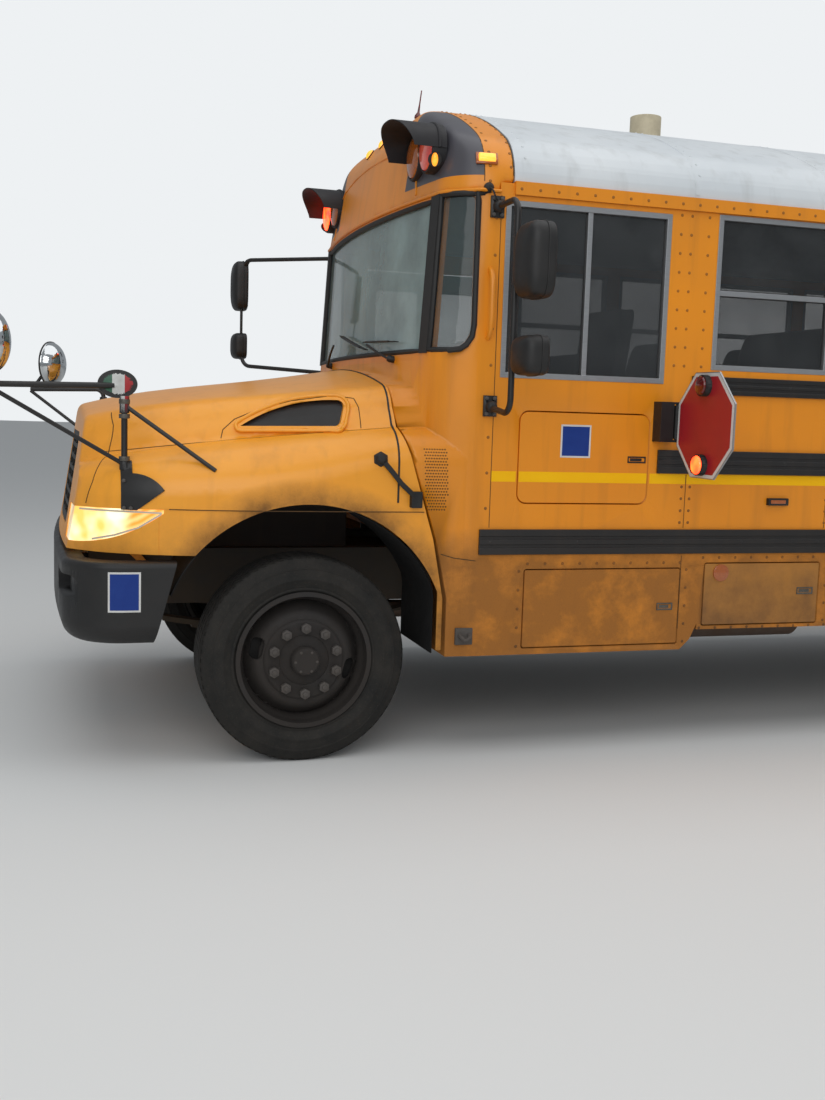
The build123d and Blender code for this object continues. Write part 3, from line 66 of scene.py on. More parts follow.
# Camera. It stands by the bus's left front corner, held upright at eye height,
# as the photograph was taken. Places here and in every section are metres from
# the front axle, which is found from the front tyre.
tyre_low, tyre_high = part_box("front_left_tyre")
AXLE_X = (tyre_low.x + tyre_high.x) / 2
AXLE_Z = (tyre_low.z + tyre_high.z) / 2
PHOTO_HEIGHT = 1100
FOCAL_PIXELS = 1175.3
SENSOR_MM = 36
CAMERA_PLACE = (1.046, 6.018, 1.534)


def at(x, y, z):
    """A place in the shared frame, measured from the front axle."""
    return Vector((AXLE_X + x, y, z))


yaw, pitch, roll = math.radians(17.24), math.radians(-6.75), math.radians(1.81)
level_ahead = Vector((-math.sin(yaw), -math.cos(yaw), 0))
level_right = Vector((-math.cos(yaw), math.sin(yaw), 0))
ahead = level_ahead * math.cos(pitch) + Vector((0, 0, math.sin(pitch)))
upright = Vector((0, 0, math.cos(pitch))) - level_ahead * math.sin(pitch)
right = level_right * math.cos(roll) + upright * math.sin(roll)
up = upright * math.cos(roll) - level_right * math.sin(roll)
camera_data = bpy.data.cameras.new("camera")
camera_data.sensor_width = SENSOR_MM
camera_data.lens = SENSOR_MM * FOCAL_PIXELS / PHOTO_HEIGHT
camera_data.clip_end = 100
camera = bpy.data.objects.new("camera", camera_data)
bpy.context.scene.collection.objects.link(camera)
stance = Matrix((right, up, -ahead)).transposed().to_4x4()
camera.matrix_world = Matrix.Translation(at(*CAMERA_PLACE)) @ stance
bpy.context.scene.camera = camera


# Floor and light. A pale studio floor under a wide overhead lamp, as soft as an
# overcast day, with a weaker lamp on the camera's side and a plain pale world.
def linear(hex_colour):
    """An sRGB hex colour as linear light."""
    channels = [int(hex_colour[k:k + 2], 16) / 255 for k in (1, 3, 5)]
    light = [c / 12.92 if c <= 0.04045 else ((c + 0.055) / 1.055) ** 2.4 for c in channels]
    return (*light, 1)


def add(tree, kind, links=None, **settings):
    """A node with its settings, each of its inputs linked to a socket or set to a value."""
    made = tree.nodes.new(kind)
    for name, value in settings.items():
        setattr(made, name, value)
    for socket, value in (links or {}).items():
        if isinstance(value, bpy.types.NodeSocket):
            tree.links.new(value, made.inputs[socket])
        else:
            made.inputs[socket].default_value = value
    return made


def new_material(name):
    material = bpy.data.materials.new(name)
    material.use_nodes = True
    return material, material.node_tree, material.node_tree.nodes["Principled BSDF"]


floor_paint, tree, surface = new_material("pale studio floor")
surface.inputs["Base Color"].default_value = linear("#DFDFDD")
surface.inputs["Roughness"].default_value = 0.9
bpy.ops.mesh.primitive_plane_add(size=160)
floor = bpy.context.object
floor.name = "studio_floor"
floor.data.materials.append(floor_paint)

world = bpy.data.worlds.new("studio")
bpy.context.scene.world = world
world.use_nodes = True
tree = world.node_tree
rays = add(tree, "ShaderNodeLightPath")
seen = add(tree, "ShaderNodeMath", {0: rays.outputs["Is Camera Ray"], 1: rays.outputs["Is Transmission Ray"]},
           operation="MAXIMUM")
lit = add(tree, "ShaderNodeBackground", {"Color": linear("#E6ECF2"), "Strength": 0.42})
shown = add(tree, "ShaderNodeBackground", {"Color": linear("#EEF1F3"), "Strength": 1.0})
mixed = add(tree, "ShaderNodeMixShader", {0: seen.outputs[0], 1: lit.outputs[0], 2: shown.outputs[0]})
tree.links.new(mixed.outputs[0], tree.nodes["World Output"].inputs["Surface"])

LAMPS = [
    # name, place, aimed at, size, watts
    ("overhead", (0.0, 2.0, 9.0), (0.0, 0.0, 0.0), (18.0, 9.0), 560),
    ("camera_side", (7.0, 9.0, 5.0), (3.0, 0.0, 1.2), (9.0, 5.0), 270),
]
for name, place, aim, size, watts in LAMPS:
    lamp = bpy.data.lights.new(name, "AREA")
    lamp.shape = "RECTANGLE"
    lamp.size, lamp.size_y = size
    lamp.energy = watts
    holder = bpy.data.objects.new(name, lamp)
    holder.location = place
    holder.rotation_mode = "QUATERNION"
    holder.rotation_quaternion = (Vector(aim) - Vector(place)).to_track_quat("-Z", "Y")
    bpy.context.scene.collection.objects.link(holder)
bpy.context.scene.view_settings.view_transform = "Standard"


# Chassis: pressed steel rails, cross-members, hangers, axles, springs and
# driveline, riveted and bolted together and painted black. Dried road mud and
# stone dust cover everything that hangs low.
ARCH_Z = 0.510


def enamel(name, fresh, faded, soil="#5F4427", soil_top=0.95, soil_most=0.7, roughness=0.34, streak=0.25,
           arch_x=None, soil_full=0.45):
    """Sprayed enamel: smooth and glossy, chalked in patches by the sun, with road soil thickest low down."""
    material, tree, surface = new_material(name)
    place = add(tree, "ShaderNodeTexCoord").outputs["Object"]
    patches = add(tree, "ShaderNodeTexNoise", {"Vector": place, "Scale": 0.9, "Detail": 5.0, "Roughness": 0.6})
    patch_share = add(tree, "ShaderNodeMapRange", {"Value": patches.outputs[0], "From Min": 0.35, "From Max": 0.68})
    tone = add(tree, "ShaderNodeMix", {0: patch_share.outputs[0], 6: linear(fresh), 7: linear(faded)},
               data_type="RGBA")
    # rain streaks are about 60 mm wide and half a metre long
    upright_place = add(tree, "ShaderNodeMapping", {"Vector": place, "Scale": (1.0, 1.0, 0.09)})
    streaks = add(tree, "ShaderNodeTexNoise", {"Vector": upright_place.outputs[0], "Scale": 14.0, "Detail": 4.0})
    streak_share = add(tree, "ShaderNodeMapRange", {"Value": streaks.outputs[0], "From Min": 0.52, "From Max": 0.8,
                                                    "To Max": streak})
    streaked = add(tree, "ShaderNodeMix", {0: streak_share.outputs[0], 6: tone.outputs[2], 7: linear(soil)},
                   data_type="RGBA")
    # road soil: splashes up to 150 mm across, then grit a few millimetres across
    height = add(tree, "ShaderNodeSeparateXYZ", {0: place}).outputs["Z"]
    lowness = add(tree, "ShaderNodeMapRange", {"Value": height, "From Min": soil_full, "From Max": soil_top,
                                               "To Min": 1.0, "To Max": 0.0})
    splash = add(tree, "ShaderNodeTexNoise", {"Vector": place, "Scale": 6.5, "Detail": 8.0, "Roughness": 0.65})
    nearness = lowness
    if arch_x is not None:
        # the tyre throws its own soil on the 130 mm nearest the wheel arch
        flat = add(tree, "ShaderNodeMapping", {"Vector": place, "Location": (-arch_x, 0.0, -ARCH_Z),
                                               "Scale": (1.0, 0.0, 1.0)})
        radius = add(tree, "ShaderNodeVectorMath", {0: flat.outputs[0]}, operation="LENGTH")
        edge = add(tree, "ShaderNodeMapRange", {"Value": radius.outputs["Value"], "From Min": 0.63,
                                                "From Max": 0.76, "To Min": 0.8, "To Max": 0.0})
        nearness = add(tree, "ShaderNodeMath", {0: lowness.outputs[0], 1: edge.outputs[0]}, operation="MAXIMUM")
    reach = add(tree, "ShaderNodeMath", {0: nearness.outputs[0], 1: splash.outputs[0]}, operation="MULTIPLY")
    soil_share = add(tree, "ShaderNodeMapRange", {"Value": reach.outputs[0], "From Min": 0.08, "From Max": 0.52,
                                                  "To Max": soil_most})
    soiled = add(tree, "ShaderNodeMix", {0: soil_share.outputs[0], 6: streaked.outputs[2], 7: linear(soil)},
                 data_type="RGBA")
    grit = add(tree, "ShaderNodeTexNoise", {"Vector": place, "Scale": 160.0, "Detail": 2.0})
    grit_share = add(tree, "ShaderNodeMapRange", {"Value": grit.outputs[0], "From Min": 0.56, "From Max": 0.74,
                                                  "To Max": 0.3})
    gritty = add(tree, "ShaderNodeMath", {0: grit_share.outputs[0], 1: soil_share.outputs[0]}, operation="MULTIPLY")
    colour = add(tree, "ShaderNodeMix", {0: gritty.outputs[0], 6: soiled.outputs[2], 7: linear("#3A2C1C")},
                 data_type="RGBA")
    tree.links.new(colour.outputs[2], surface.inputs["Base Color"])
    dull = add(tree, "ShaderNodeMapRange", {"Value": reach.outputs[0], "From Min": 0.05, "From Max": 0.5,
                                            "To Min": roughness, "To Max": 0.82})
    tree.links.new(dull.outputs[0], surface.inputs["Roughness"])
    # sheet metal bows a little between its ribs, and sprayed enamel has a fine orange peel
    bow = add(tree, "ShaderNodeTexNoise", {"Vector": place, "Scale": 2.2, "Detail": 1.0})
    bowed = add(tree, "ShaderNodeBump", {"Height": bow.outputs[0], "Strength": 0.25, "Distance": 0.02})
    peel = add(tree, "ShaderNodeTexNoise", {"Vector": place, "Scale": 240.0, "Detail": 1.0})
    peeled = add(tree, "ShaderNodeBump", {"Height": peel.outputs[0], "Strength": 0.06, "Distance": 0.001,
                                          "Normal": bowed.outputs[0]})
    tree.links.new(peeled.outputs[0], surface.inputs["Normal"])
    return material


def done(piece, material, body="root", edge=0.0, segments=2, angle=32):
    """A piece's last steps: softened edges, smooth shading, its finish and the body it rides on."""
    bpy.context.view_layer.objects.active = piece
    if bpy.context.mode != "OBJECT":
        bpy.ops.object.mode_set(mode="OBJECT")
    bpy.ops.object.select_all(action="DESELECT")
    piece.select_set(True)
    if edge:
        soften = piece.modifiers.new("soften", "BEVEL")
        soften.width = edge
        soften.segments = segments
        soften.limit_method = "ANGLE"
        soften.angle_limit = math.radians(angle)
        bpy.ops.object.modifier_apply(modifier="soften")
    bpy.ops.object.shade_smooth_by_angle(angle=math.radians(angle))
    piece.data.materials.clear()
    piece.data.materials.append(material)
    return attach(piece, body)


def worked(part, name, material, edge=0.0, angle=32):
    """A merged copy of a CAD node, with softened edges, which stands for the node."""
    piece = bpy.data.objects.new(name, node[part].data.copy())
    bpy.context.scene.collection.objects.link(piece)
    bpy.ops.object.select_all(action="DESELECT")
    bpy.context.view_layer.objects.active = piece
    piece.select_set(True)
    bpy.ops.object.mode_set(mode="EDIT")
    bpy.ops.mesh.select_all(action="SELECT")
    bpy.ops.mesh.remove_doubles(threshold=0.00002)
    if edge:
        bpy.ops.mesh.dissolve_limited(angle_limit=math.radians(0.4))
    bpy.ops.object.mode_set(mode="OBJECT")
    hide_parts(part)
    done(piece, material, node[part]["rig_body"], edge, 2, angle)
    # the largest faces set the shading, so that flat sheet stays flat
    even = piece.modifiers.new("even", "WEIGHTED_NORMAL")
    even.keep_sharp = True
    bpy.ops.object.modifier_apply(modifier="even")
    return piece


def patchy(name, fresh, worn, scale, detail, roughness, metallic=0.0):
    """A plain finish whose fresh and worn tones run into each other in patches."""
    material, tree, surface = new_material(name)
    place = add(tree, "ShaderNodeTexCoord").outputs["Object"]
    patches = add(tree, "ShaderNodeTexNoise", {"Vector": place, "Scale": scale, "Detail": detail})
    tone = add(tree, "ShaderNodeMix", {0: patches.outputs[0], 6: linear(fresh), 7: linear(worn)}, data_type="RGBA")
    tree.links.new(tone.outputs[2], surface.inputs["Base Color"])
    surface.inputs["Metallic"].default_value = metallic
    surface.inputs["Roughness"].default_value = roughness
    return material


chassis_black = enamel("chassis black enamel", "#1B1B1C", "#26241F", soil="#4A3D2D", soil_top=1.2, soil_most=0.75,
                       roughness=0.5)
forged_iron = enamel("forged iron with mud", "#232221", "#2F2A25", soil="#4A3D2D", soil_top=1.0, soil_most=0.8,
                     roughness=0.62)
CHASSIS = [
    # CAD node, record slot, finish, softened edge
    ("chassis_frame", "chassis_paint", chassis_black, 0.0),
    ("crossmembers", "chassis_paint", chassis_black, 0.0),
    ("engine", "cast_iron", forged_iron, 0.012),
    ("front_axle", "cast_iron", forged_iron, 0.006),
    ("rear_axle", "cast_iron", forged_iron, 0.006),
    ("knuckle_left", "cast_iron", forged_iron, 0.004),
    ("knuckle_right", "cast_iron", forged_iron, 0.004),
    ("leaf_springs", "spring_steel", forged_iron, 0.0),
    ("tie_rod", "spring_steel", forged_iron, 0.0),
    ("driveshaft", "chassis_paint", chassis_black, 0.003),
    ("fuel_tank", "black_paint", chassis_black, 0.003),
]
for part, slot, finish, edge in CHASSIS:
    worked(part, part + "_finished", finish, edge)
rusty_steel = patchy("aluminised exhaust steel", "#6E655C", "#5B3B24", 9.0, 6.0, 0.6, 0.5)
worked("exhaust", "exhaust_finished", rusty_steel, 0.002)


# Tyres: moulded rubber ribs on a steel-belted casing. Road dust greys the side
# walls and the shoulders, and the ribs are worn smooth between their grooves.
def start(kind, name, place, **shape):
    """A primitive set down at its place, with everything else deselected."""
    bpy.ops.object.select_all(action="DESELECT")
    getattr(bpy.ops.mesh, "primitive_" + kind + "_add")(location=place, **shape)
    piece = bpy.context.object
    piece.name = name
    bpy.ops.object.transform_apply(location=True, rotation=True, scale=True)
    return piece


def turned(name, centre, axis, profile, steps):
    """A closed section spun round an axis, given as (radius, distance along the axis) points."""
    along = Vector(axis).normalized()
    out = Vector((1, 0, 0)) if abs(along.z) > 0.9 else Vector((0, 0, 1))
    out = (out - along * out.dot(along)).normalized()
    piece = start("circle", name, (0, 0, 0), vertices=len(profile), radius=0.1)
    for corner, (radius, reach) in zip(piece.data.vertices, profile):
        corner.co = centre + out * radius + along * reach
    bpy.ops.object.mode_set(mode="EDIT")
    bpy.ops.mesh.select_all(action="SELECT")
    bpy.ops.mesh.spin(steps=steps, angle=math.tau, center=centre, axis=along)
    bpy.ops.mesh.select_all(action="SELECT")
    bpy.ops.mesh.remove_doubles(threshold=0.00002)
    bpy.ops.mesh.delete_loose(use_verts=True, use_edges=True, use_faces=False)
    bpy.ops.mesh.select_all(action="SELECT")
    bpy.ops.mesh.normals_make_consistent(inside=False)
    bpy.ops.object.mode_set(mode="OBJECT")
    return piece


def pick(piece, test):
    """Edit mode, with only the faces selected whose middle and normal pass the test."""
    bpy.context.view_layer.objects.active = piece
    bpy.ops.object.mode_set(mode="EDIT")
    bpy.ops.mesh.select_mode(type="FACE")
    bpy.ops.mesh.select_all(action="DESELECT")
    form = bmesh.from_edit_mesh(piece.data)
    for face in form.faces:
        if test(face.calc_center_median(), face.normal):
            face.select_set(True)
    bmesh.update_edit_mesh(piece.data)


tread_rubber, tree, surface = new_material("carbon black tyre rubber")
place = add(tree, "ShaderNodeTexCoord").outputs["Object"]
dust = add(tree, "ShaderNodeTexNoise", {"Vector": place, "Scale": 7.0, "Detail": 8.0, "Roughness": 0.7})
dust_share = add(tree, "ShaderNodeMapRange", {"Value": dust.outputs[0], "From Min": 0.32, "From Max": 0.7})
dusted = add(tree, "ShaderNodeMix", {0: dust_share.outputs[0], 6: linear("#171716"), 7: linear("#2D2A26")},
             data_type="RGBA")
grit = add(tree, "ShaderNodeTexNoise", {"Vector": place, "Scale": 130.0, "Detail": 3.0})
grit_share = add(tree, "ShaderNodeMapRange", {"Value": grit.outputs[0], "From Min": 0.58, "From Max": 0.75,
                                              "To Max": 0.35})
gritty = add(tree, "ShaderNodeMix", {0: grit_share.outputs[0], 6: dusted.outputs[2], 7: linear("#464037")},
             data_type="RGBA")
tree.links.new(gritty.outputs[2], surface.inputs["Base Color"])
surface.inputs["Roughness"].default_value = 0.78
surface.inputs["Specular IOR Level"].default_value = 0.35
rough = add(tree, "ShaderNodeBump", {"Height": grit.outputs[0], "Strength": 0.3, "Distance": 0.001})
tree.links.new(rough.outputs[0], surface.inputs["Normal"])

TYRE_RADIUS = 0.4498
TYRE_HALF = 0.1275
BEAD_RADIUS = 0.2855
TYRE_OUTSIDE = [
    # radius, share of the half width: bead, rim guard, side wall with two raised rings, shoulder
    (BEAD_RADIUS, 0.74), (0.2900, 0.83), (0.3030, 0.875), (0.3060, 0.895), (0.3120, 0.895), (0.3160, 0.885),
    (0.3300, 0.940), (0.3480, 0.978), (0.3500, 0.992), (0.3560, 0.998), (0.3580, 0.990), (0.3750, 0.998),
    (0.3950, 0.976), (0.3970, 0.988), (0.4020, 0.984), (0.4040, 0.968), (0.4180, 0.925), (0.4300, 0.880),
    (0.4400, 0.845), (0.4460, 0.810), (TYRE_RADIUS - 0.0008, 0.760),
]
GROOVES = [0.56, 0.19]
GROOVE_HALF = 0.0055
GROOVE_DEEP = 0.012
GROOVE_PITCH_STEPS = 144


def tyre(name, x, y):
    """One tyre: the outside profile and the grooves, mirrored and spun, with notched shoulders."""
    section = list(TYRE_OUTSIDE)
    for share in GROOVES:
        for across, deep in ((GROOVE_HALF, 0), (GROOVE_HALF - 0.002, 1), (0.002 - GROOVE_HALF, 1), (-GROOVE_HALF, 0)):
            section.append((TYRE_RADIUS - deep * GROOVE_DEEP, share + across / TYRE_HALF))
    section += [(radius, -share) for radius, share in reversed(section)]
    profile = [(radius, share * TYRE_HALF) for radius, share in section]
    piece = turned(name, at(x, y, AXLE_Z), (0, 1, 0), profile, GROOVE_PITCH_STEPS)
    axle = at(x, y, AXLE_Z)
    # wear notches along both shoulders, one in every second step
    turn_step = math.tau / GROOVE_PITCH_STEPS

    def notch(middle, normal):
        away = middle - axle
        radius = math.hypot(away.x, away.z)
        step = int((math.atan2(away.z, away.x) + math.tau) / turn_step + 0.25)
        return 0.4405 < radius < 0.4455 and step % 2 == 0

    pick(piece, notch)
    bpy.ops.mesh.inset(thickness=0.0012, depth=-0.0035, use_individual=True)
    bpy.ops.object.mode_set(mode="OBJECT")
    return piece


REAR_AXLE = -6.452
WHEEL_ENDS = [
    # CAD node of the tyre, body, x of its middle, y of each tyre in it
    ("front_left_tyre", "front_left_wheel", 0.0, (1.005,)),
    ("front_right_tyre", "front_right_wheel", 0.0, (-1.005,)),
    ("rear_left_tyres", "rear_left_wheels", REAR_AXLE, (1.045, 0.755)),
    ("rear_right_tyres", "rear_right_wheels", REAR_AXLE, (-1.045, -0.755)),
]
for part, body, x, across in WHEEL_ENDS:
    for number, y in enumerate(across):
        piece = tyre(f"{part}_moulded_{number + 1}", x, y)
        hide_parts(part)
        done(piece, tread_rubber, body, angle=38)


# Wheels: pressed steel discs welded into rolled rims, held by ten hexagon nuts.
# The black enamel is dull with brake dust, and the bare steel nuts are grey.
wheel_enamel = enamel("dusty black wheel enamel", "#1A191A", "#252322", soil="#37302A", soil_top=1.6, soil_most=0.5,
                      roughness=0.55)
# near black: painted shade seen through the wheel's hand holes
hand_hole_shade_black = enamel("near-black painted shade behind the hand holes", "#0A0A0A", "#100F0E", soil="#15110D", soil_top=1.6, soil_most=0.4,
                    roughness=0.7)
nut_steel = enamel("dusty grey nut steel", "#4C4947", "#5A5551", soil="#4A433D", soil_top=1.6, soil_most=0.6,
                   roughness=0.5)


def repeated(name, pattern, places):
    """One piece made of copies of a small part, each set square to its outward direction at its place."""
    form = bmesh.new()
    for place, outward in places:
        mesh = pattern.data.copy()
        mesh.transform(Matrix.Translation(place) @ outward.to_track_quat("Z", "Y").to_matrix().to_4x4())
        form.from_mesh(mesh)
        bpy.data.meshes.remove(mesh)
    piece = bpy.data.objects.new(name, bpy.data.meshes.new(name))
    form.to_mesh(piece.data)
    form.free()
    bpy.context.scene.collection.objects.link(piece)
    return piece


def discard(pattern):
    bpy.data.objects.remove(pattern, do_unlink=True)


def hexagon_nut(radius, tall):
    """A nut with a chamfered crown and a domed stud end, standing on Z = 0."""
    nut = start("cylinder", "nut", (0, 0, tall / 2), vertices=6, radius=radius, depth=tall)
    pick(nut, lambda middle, normal: normal.z > 0.9)
    bpy.ops.mesh.inset(thickness=radius * 0.22, depth=tall * 0.14)
    bpy.ops.mesh.inset(thickness=radius * 0.2, depth=0)
    bpy.ops.mesh.extrude_region_move(TRANSFORM_OT_translate={"value": (0, 0, tall * 0.3)})
    bpy.ops.mesh.inset(thickness=radius * 0.14, depth=tall * 0.06)
    bpy.ops.object.mode_set(mode="OBJECT")
    return nut


def bolt_ring(x, y, side, radius, count, first=0):
    """Places for bolts in a ring round an axle, facing out of the wheel."""
    turns = [math.radians(first + 360 / count * k) for k in range(count)]
    return [(at(x + radius * math.cos(t), y, AXLE_Z + radius * math.sin(t)), Vector((0, side, 0))) for t in turns]


STUD_RADIUS = 0.1429
CAP_BOLT_RADIUS = 0.047
HUBS = [
    # CAD node, body, x, y of the nuts' face, side, height of the hub cap over that face
    ("front_left_rim", "front_left_wheel", 0.0, 1.1375, 1, 0.0245),
    ("front_right_rim", "front_right_wheel", 0.0, -1.1375, -1, 0.0245),
    ("rear_left_rims", "rear_left_wheels", REAR_AXLE, 0.9445, 1, 0.074),
    ("rear_right_rims", "rear_right_wheels", REAR_AXLE, -0.9445, -1, 0.074),
]
nut = hexagon_nut(0.0235, 0.020)
bolt = hexagon_nut(0.0065, 0.006)
for part, body, x, face_y, side, cap in HUBS:
    worked(part, part + "_finished", wheel_enamel, 0.0, 30)
    studs = bolt_ring(x, face_y - side * 0.001, side, STUD_RADIUS, 10, 18)
    done(repeated(part + "_nut_ends", nut, studs), nut_steel, body, 0.001)
    ring = bolt_ring(x, face_y + side * cap - side * 0.0005, side, CAP_BOLT_RADIUS, 6)
    done(repeated(part + "_cap_bolts", bolt, ring), nut_steel, body)
    # a raised plate carries the studs, and a near-black dust plate, painted shade, closes the view through the hand
    # holes
    dish = abs(face_y) - 0.032
    stud_plate = turned(part + "_stud_plate", at(x, 0, AXLE_Z), (0, side, 0),
                        [(0.106, dish), (0.110, dish + 0.012), (0.166, dish + 0.012), (0.175, dish + 0.004),
                         (0.178, dish - 0.002), (0.120, dish - 0.002)], 60)
    done(stud_plate, wheel_enamel, body, 0.0015)
    dust_y = abs(face_y) - 0.107
    plate = turned(part + "_dust_plate", at(x, 0, AXLE_Z), (0, side, 0),
                   [(0.180, dust_y), (0.236, dust_y), (0.236, dust_y + 0.012), (0.180, dust_y + 0.012)], 48)
    done(plate, hand_hole_shade_black, body)
discard(nut)
discard(bolt)


# Body sides: ribbed steel sheet on pressed posts, in faded school bus yellow.
# Dome rivets hold it to each post, and road film browns everything below the
# lowest rub rail.
def skin(part):
    mesh = node[part].data
    return BVHTree.FromPolygons([v.co for v in mesh.vertices], [p.vertices for p in mesh.polygons])


SIDES = ((1, "left"), (-1, "right"))


def struck(tree, spot, way):
    """Where a ray meets a surface, with the normal that faces the ray: a list of one such pair, or an empty one."""
    hit = tree.ray_cast(spot, way)
    return [(hit[0], hit[1] if hit[1].dot(way) < 0 else -hit[1])] if hit[0] else []


def traced(part, corners, way, steps=1):
    """Places on a CAD node's surface with their outward normals, where rays through the corners meet it."""
    tree = skin(part)
    way = Vector(way).normalized()
    spots = [a.lerp(b, k / steps) for a, b in zip(corners, corners[1:]) for k in range(steps)] + [corners[-1]]
    return [pair for spot in spots for pair in struck(tree, spot - way * 1.5, way)]


def thickened(sheet, thick, offset=0):
    """A bare sheet given its thickness, half of it on each side."""
    body = sheet.modifiers.new("thickness", "SOLIDIFY")
    body.thickness = thick
    body.offset = offset
    bpy.ops.object.modifier_apply(modifier="thickness")
    return sheet


def strip(name, path, width, thick, lift=0.0):
    """A flat strip that follows (place, outward) pairs, standing half its thickness above them."""
    piece = start("grid", name, (0, 0, 0), x_subdivisions=len(path) - 1, y_subdivisions=1, size=1)
    count = len(path)
    for k, (place, outward) in enumerate(path):
        step = path[min(k + 1, count - 1)][0] - path[max(k - 1, 0)][0]
        side = step.cross(outward).normalized() * width / 2
        base = place + outward * (thick / 2 + lift - 0.0003)
        piece.data.vertices[k].co = base - side
        piece.data.vertices[count + k].co = base + side
    return thickened(piece, thick)


def rod(name, points, radius, smooth=False, closed=False, sides=2):
    """A round bar or bead along points, as a bevelled curve made a mesh."""
    line = bpy.data.curves.new(name, "CURVE")
    line.dimensions = "3D"
    line.bevel_depth = radius
    line.bevel_resolution = sides
    line.use_fill_caps = not closed
    spline = line.splines.new("NURBS" if smooth else "POLY")
    spline.points.add(len(points) - 1)
    for corner, point in zip(spline.points, points):
        corner.co = (*point, 1)
    spline.use_cyclic_u = closed
    if smooth:
        spline.order_u = 3
        spline.use_endpoint_u = not closed
        spline.resolution_u = 6
    piece = bpy.data.objects.new(name, line)
    bpy.context.scene.collection.objects.link(piece)
    bpy.ops.object.select_all(action="DESELECT")
    bpy.context.view_layer.objects.active = piece
    piece.select_set(True)
    bpy.ops.object.convert(target="MESH")
    return bpy.context.object


def rounded_loop(x0, x1, z0, z1, y, radius, steps=5):
    """The corners of a rounded rectangle on the body side."""
    loop = []
    for cx, cz, first in ((x1 - radius, z1 - radius, 0), (x0 + radius, z1 - radius, 90),
                          (x0 + radius, z0 + radius, 180), (x1 - radius, z0 + radius, 270)):
        for k in range(steps + 1):
            turn = math.radians(first + 90 * k / steps)
            loop.append(at(cx + radius * math.cos(turn), y, cz + radius * math.sin(turn)))
    return loop


BUS_YELLOW = "#F09312"
FADED_YELLOW = "#DF8A1E"
ROAD_FILM = "#684828"
SIDE = 1.207
body_yellow = enamel("school bus yellow enamel", BUS_YELLOW, FADED_YELLOW, soil=ROAD_FILM, soil_top=1.07,
                     soil_most=0.68, roughness=0.36, streak=0.22, soil_full=0.86)
for part in ("left_side_wall", "right_side_wall", "rear_wall", "windshield_frame", "cowl"):
    worked(part, part + "_painted", body_yellow, 0.0, 28)

# Rivets: domed steel heads enamelled darker than the sheet, painted shade round each head with some grime,
# in columns on the window posts and the sheet laps, and in rows along the eaves and the skirt.
WINDOW_PITCH = 0.711
FIRST_WINDOW = -1.850
WINDOW_WIDTH = 0.625
ARCH_FRONT, ARCH_BACK = -5.9, -7.0
# darker than the body enamel: painted shade for the small shadow round each rivet head, with some grime
rivet_shade_darkened = enamel("rivet enamel darkened as painted shade", "#A9660F", "#93601E", soil="#54391F", soil_top=1.8, soil_most=0.8,
                      roughness=0.55)


def round_head(name, radius, rise):
    """The round head of a rivet or screw, on Z = 0, with its height as a share of its radius."""
    head = start("uv_sphere", name, (0, 0, 0), segments=8, ring_count=4, radius=radius)
    head.scale = (1, 1, rise)
    bpy.ops.object.transform_apply(location=False, rotation=False, scale=True)
    return head


def on_side(side, x, z, stand=0.0):
    """A place on the body's side sheet, or standing off it, with its outward direction."""
    return at(x, side * (SIDE + stand), z), Vector((0, side, 0))


rivet = round_head("rivet", 0.0072, 0.48)
window_backs = [FIRST_WINDOW - WINDOW_PITCH * k - WINDOW_WIDTH for k in range(11)]
post_columns = [-1.660, -1.712, -1.800] + [x - gap for x in window_backs for gap in (0.026, 0.060)]
lap_columns = [x - 0.043 for x in window_backs]
lap_heights = [1.06 + 0.055 * k for k in range(4)] + [1.42 + 0.055 * k for k in range(5)]
skirt_columns = [x for x in (-1.87 - 0.086 * k for k in range(95)) if not ARCH_FRONT > x > ARCH_BACK]
# the frames of the service doors and of the driver's window, on the left side
frame_rivets = [(-0.775, 1.12 + 0.155 * k) for k in range(9)]
frame_rivets += [(x, 0.50 + 0.085 * k) for k in range(5) for x in (-0.945, -1.785)]
frame_rivets += [(-0.985 - 0.085 * k, 0.873) for k in range(10)]
frame_rivets += [(-2.55, 0.585 + 0.085 * k) for k in range(4)]
for side, name in SIDES:
    places = [on_side(side, x, 1.775 + 0.083 * k) for x in post_columns for k in range(9)]
    places += [on_side(side, x, z) for x in [-1.735, -1.778] + lap_columns for z in lap_heights]
    places += [on_side(side, -0.88 - 0.086 * k, 2.487, 0.014) for k in range(105)]
    places += [on_side(side, x, z) for x in skirt_columns for z in (0.895, 0.562)]
    if side > 0:
        places += [on_side(side, x, z) for x, z in frame_rivets]
    done(repeated(f"{name}_rivets", rivet, places), rivet_shade_darkened)

# Sheet seams: lapped edges show as narrow dark lines between the panels. Each
# sheet of the skirt is two windows long.
seam_dark = patchy("shadowed sheet lap with dust", "#2E2215", "#6B4A1F", 30.0, 4.0, 0.85)
for side, name in SIDES:
    for number, x in enumerate([-1.755] + lap_columns[:10]):
        for part_name, low, high in (("upper", 1.40, 1.64), ("lower", 1.035, 1.28), ("skirt", 0.562, 0.905)):
            if part_name == "skirt" and (number % 2 or ARCH_BACK < x < ARCH_FRONT):
                continue
            path = [on_side(side, x, low), on_side(side, x, high)]
            done(strip(f"{name}_{part_name}_seam_{number}", path, 0.003, 0.001), seam_dark)
driver_panel = [on_side(1, -0.795, 1.035), on_side(1, -0.795, 2.455)]
done(strip("driver_door_post_seam", driver_panel, 0.003, 0.001), seam_dark)


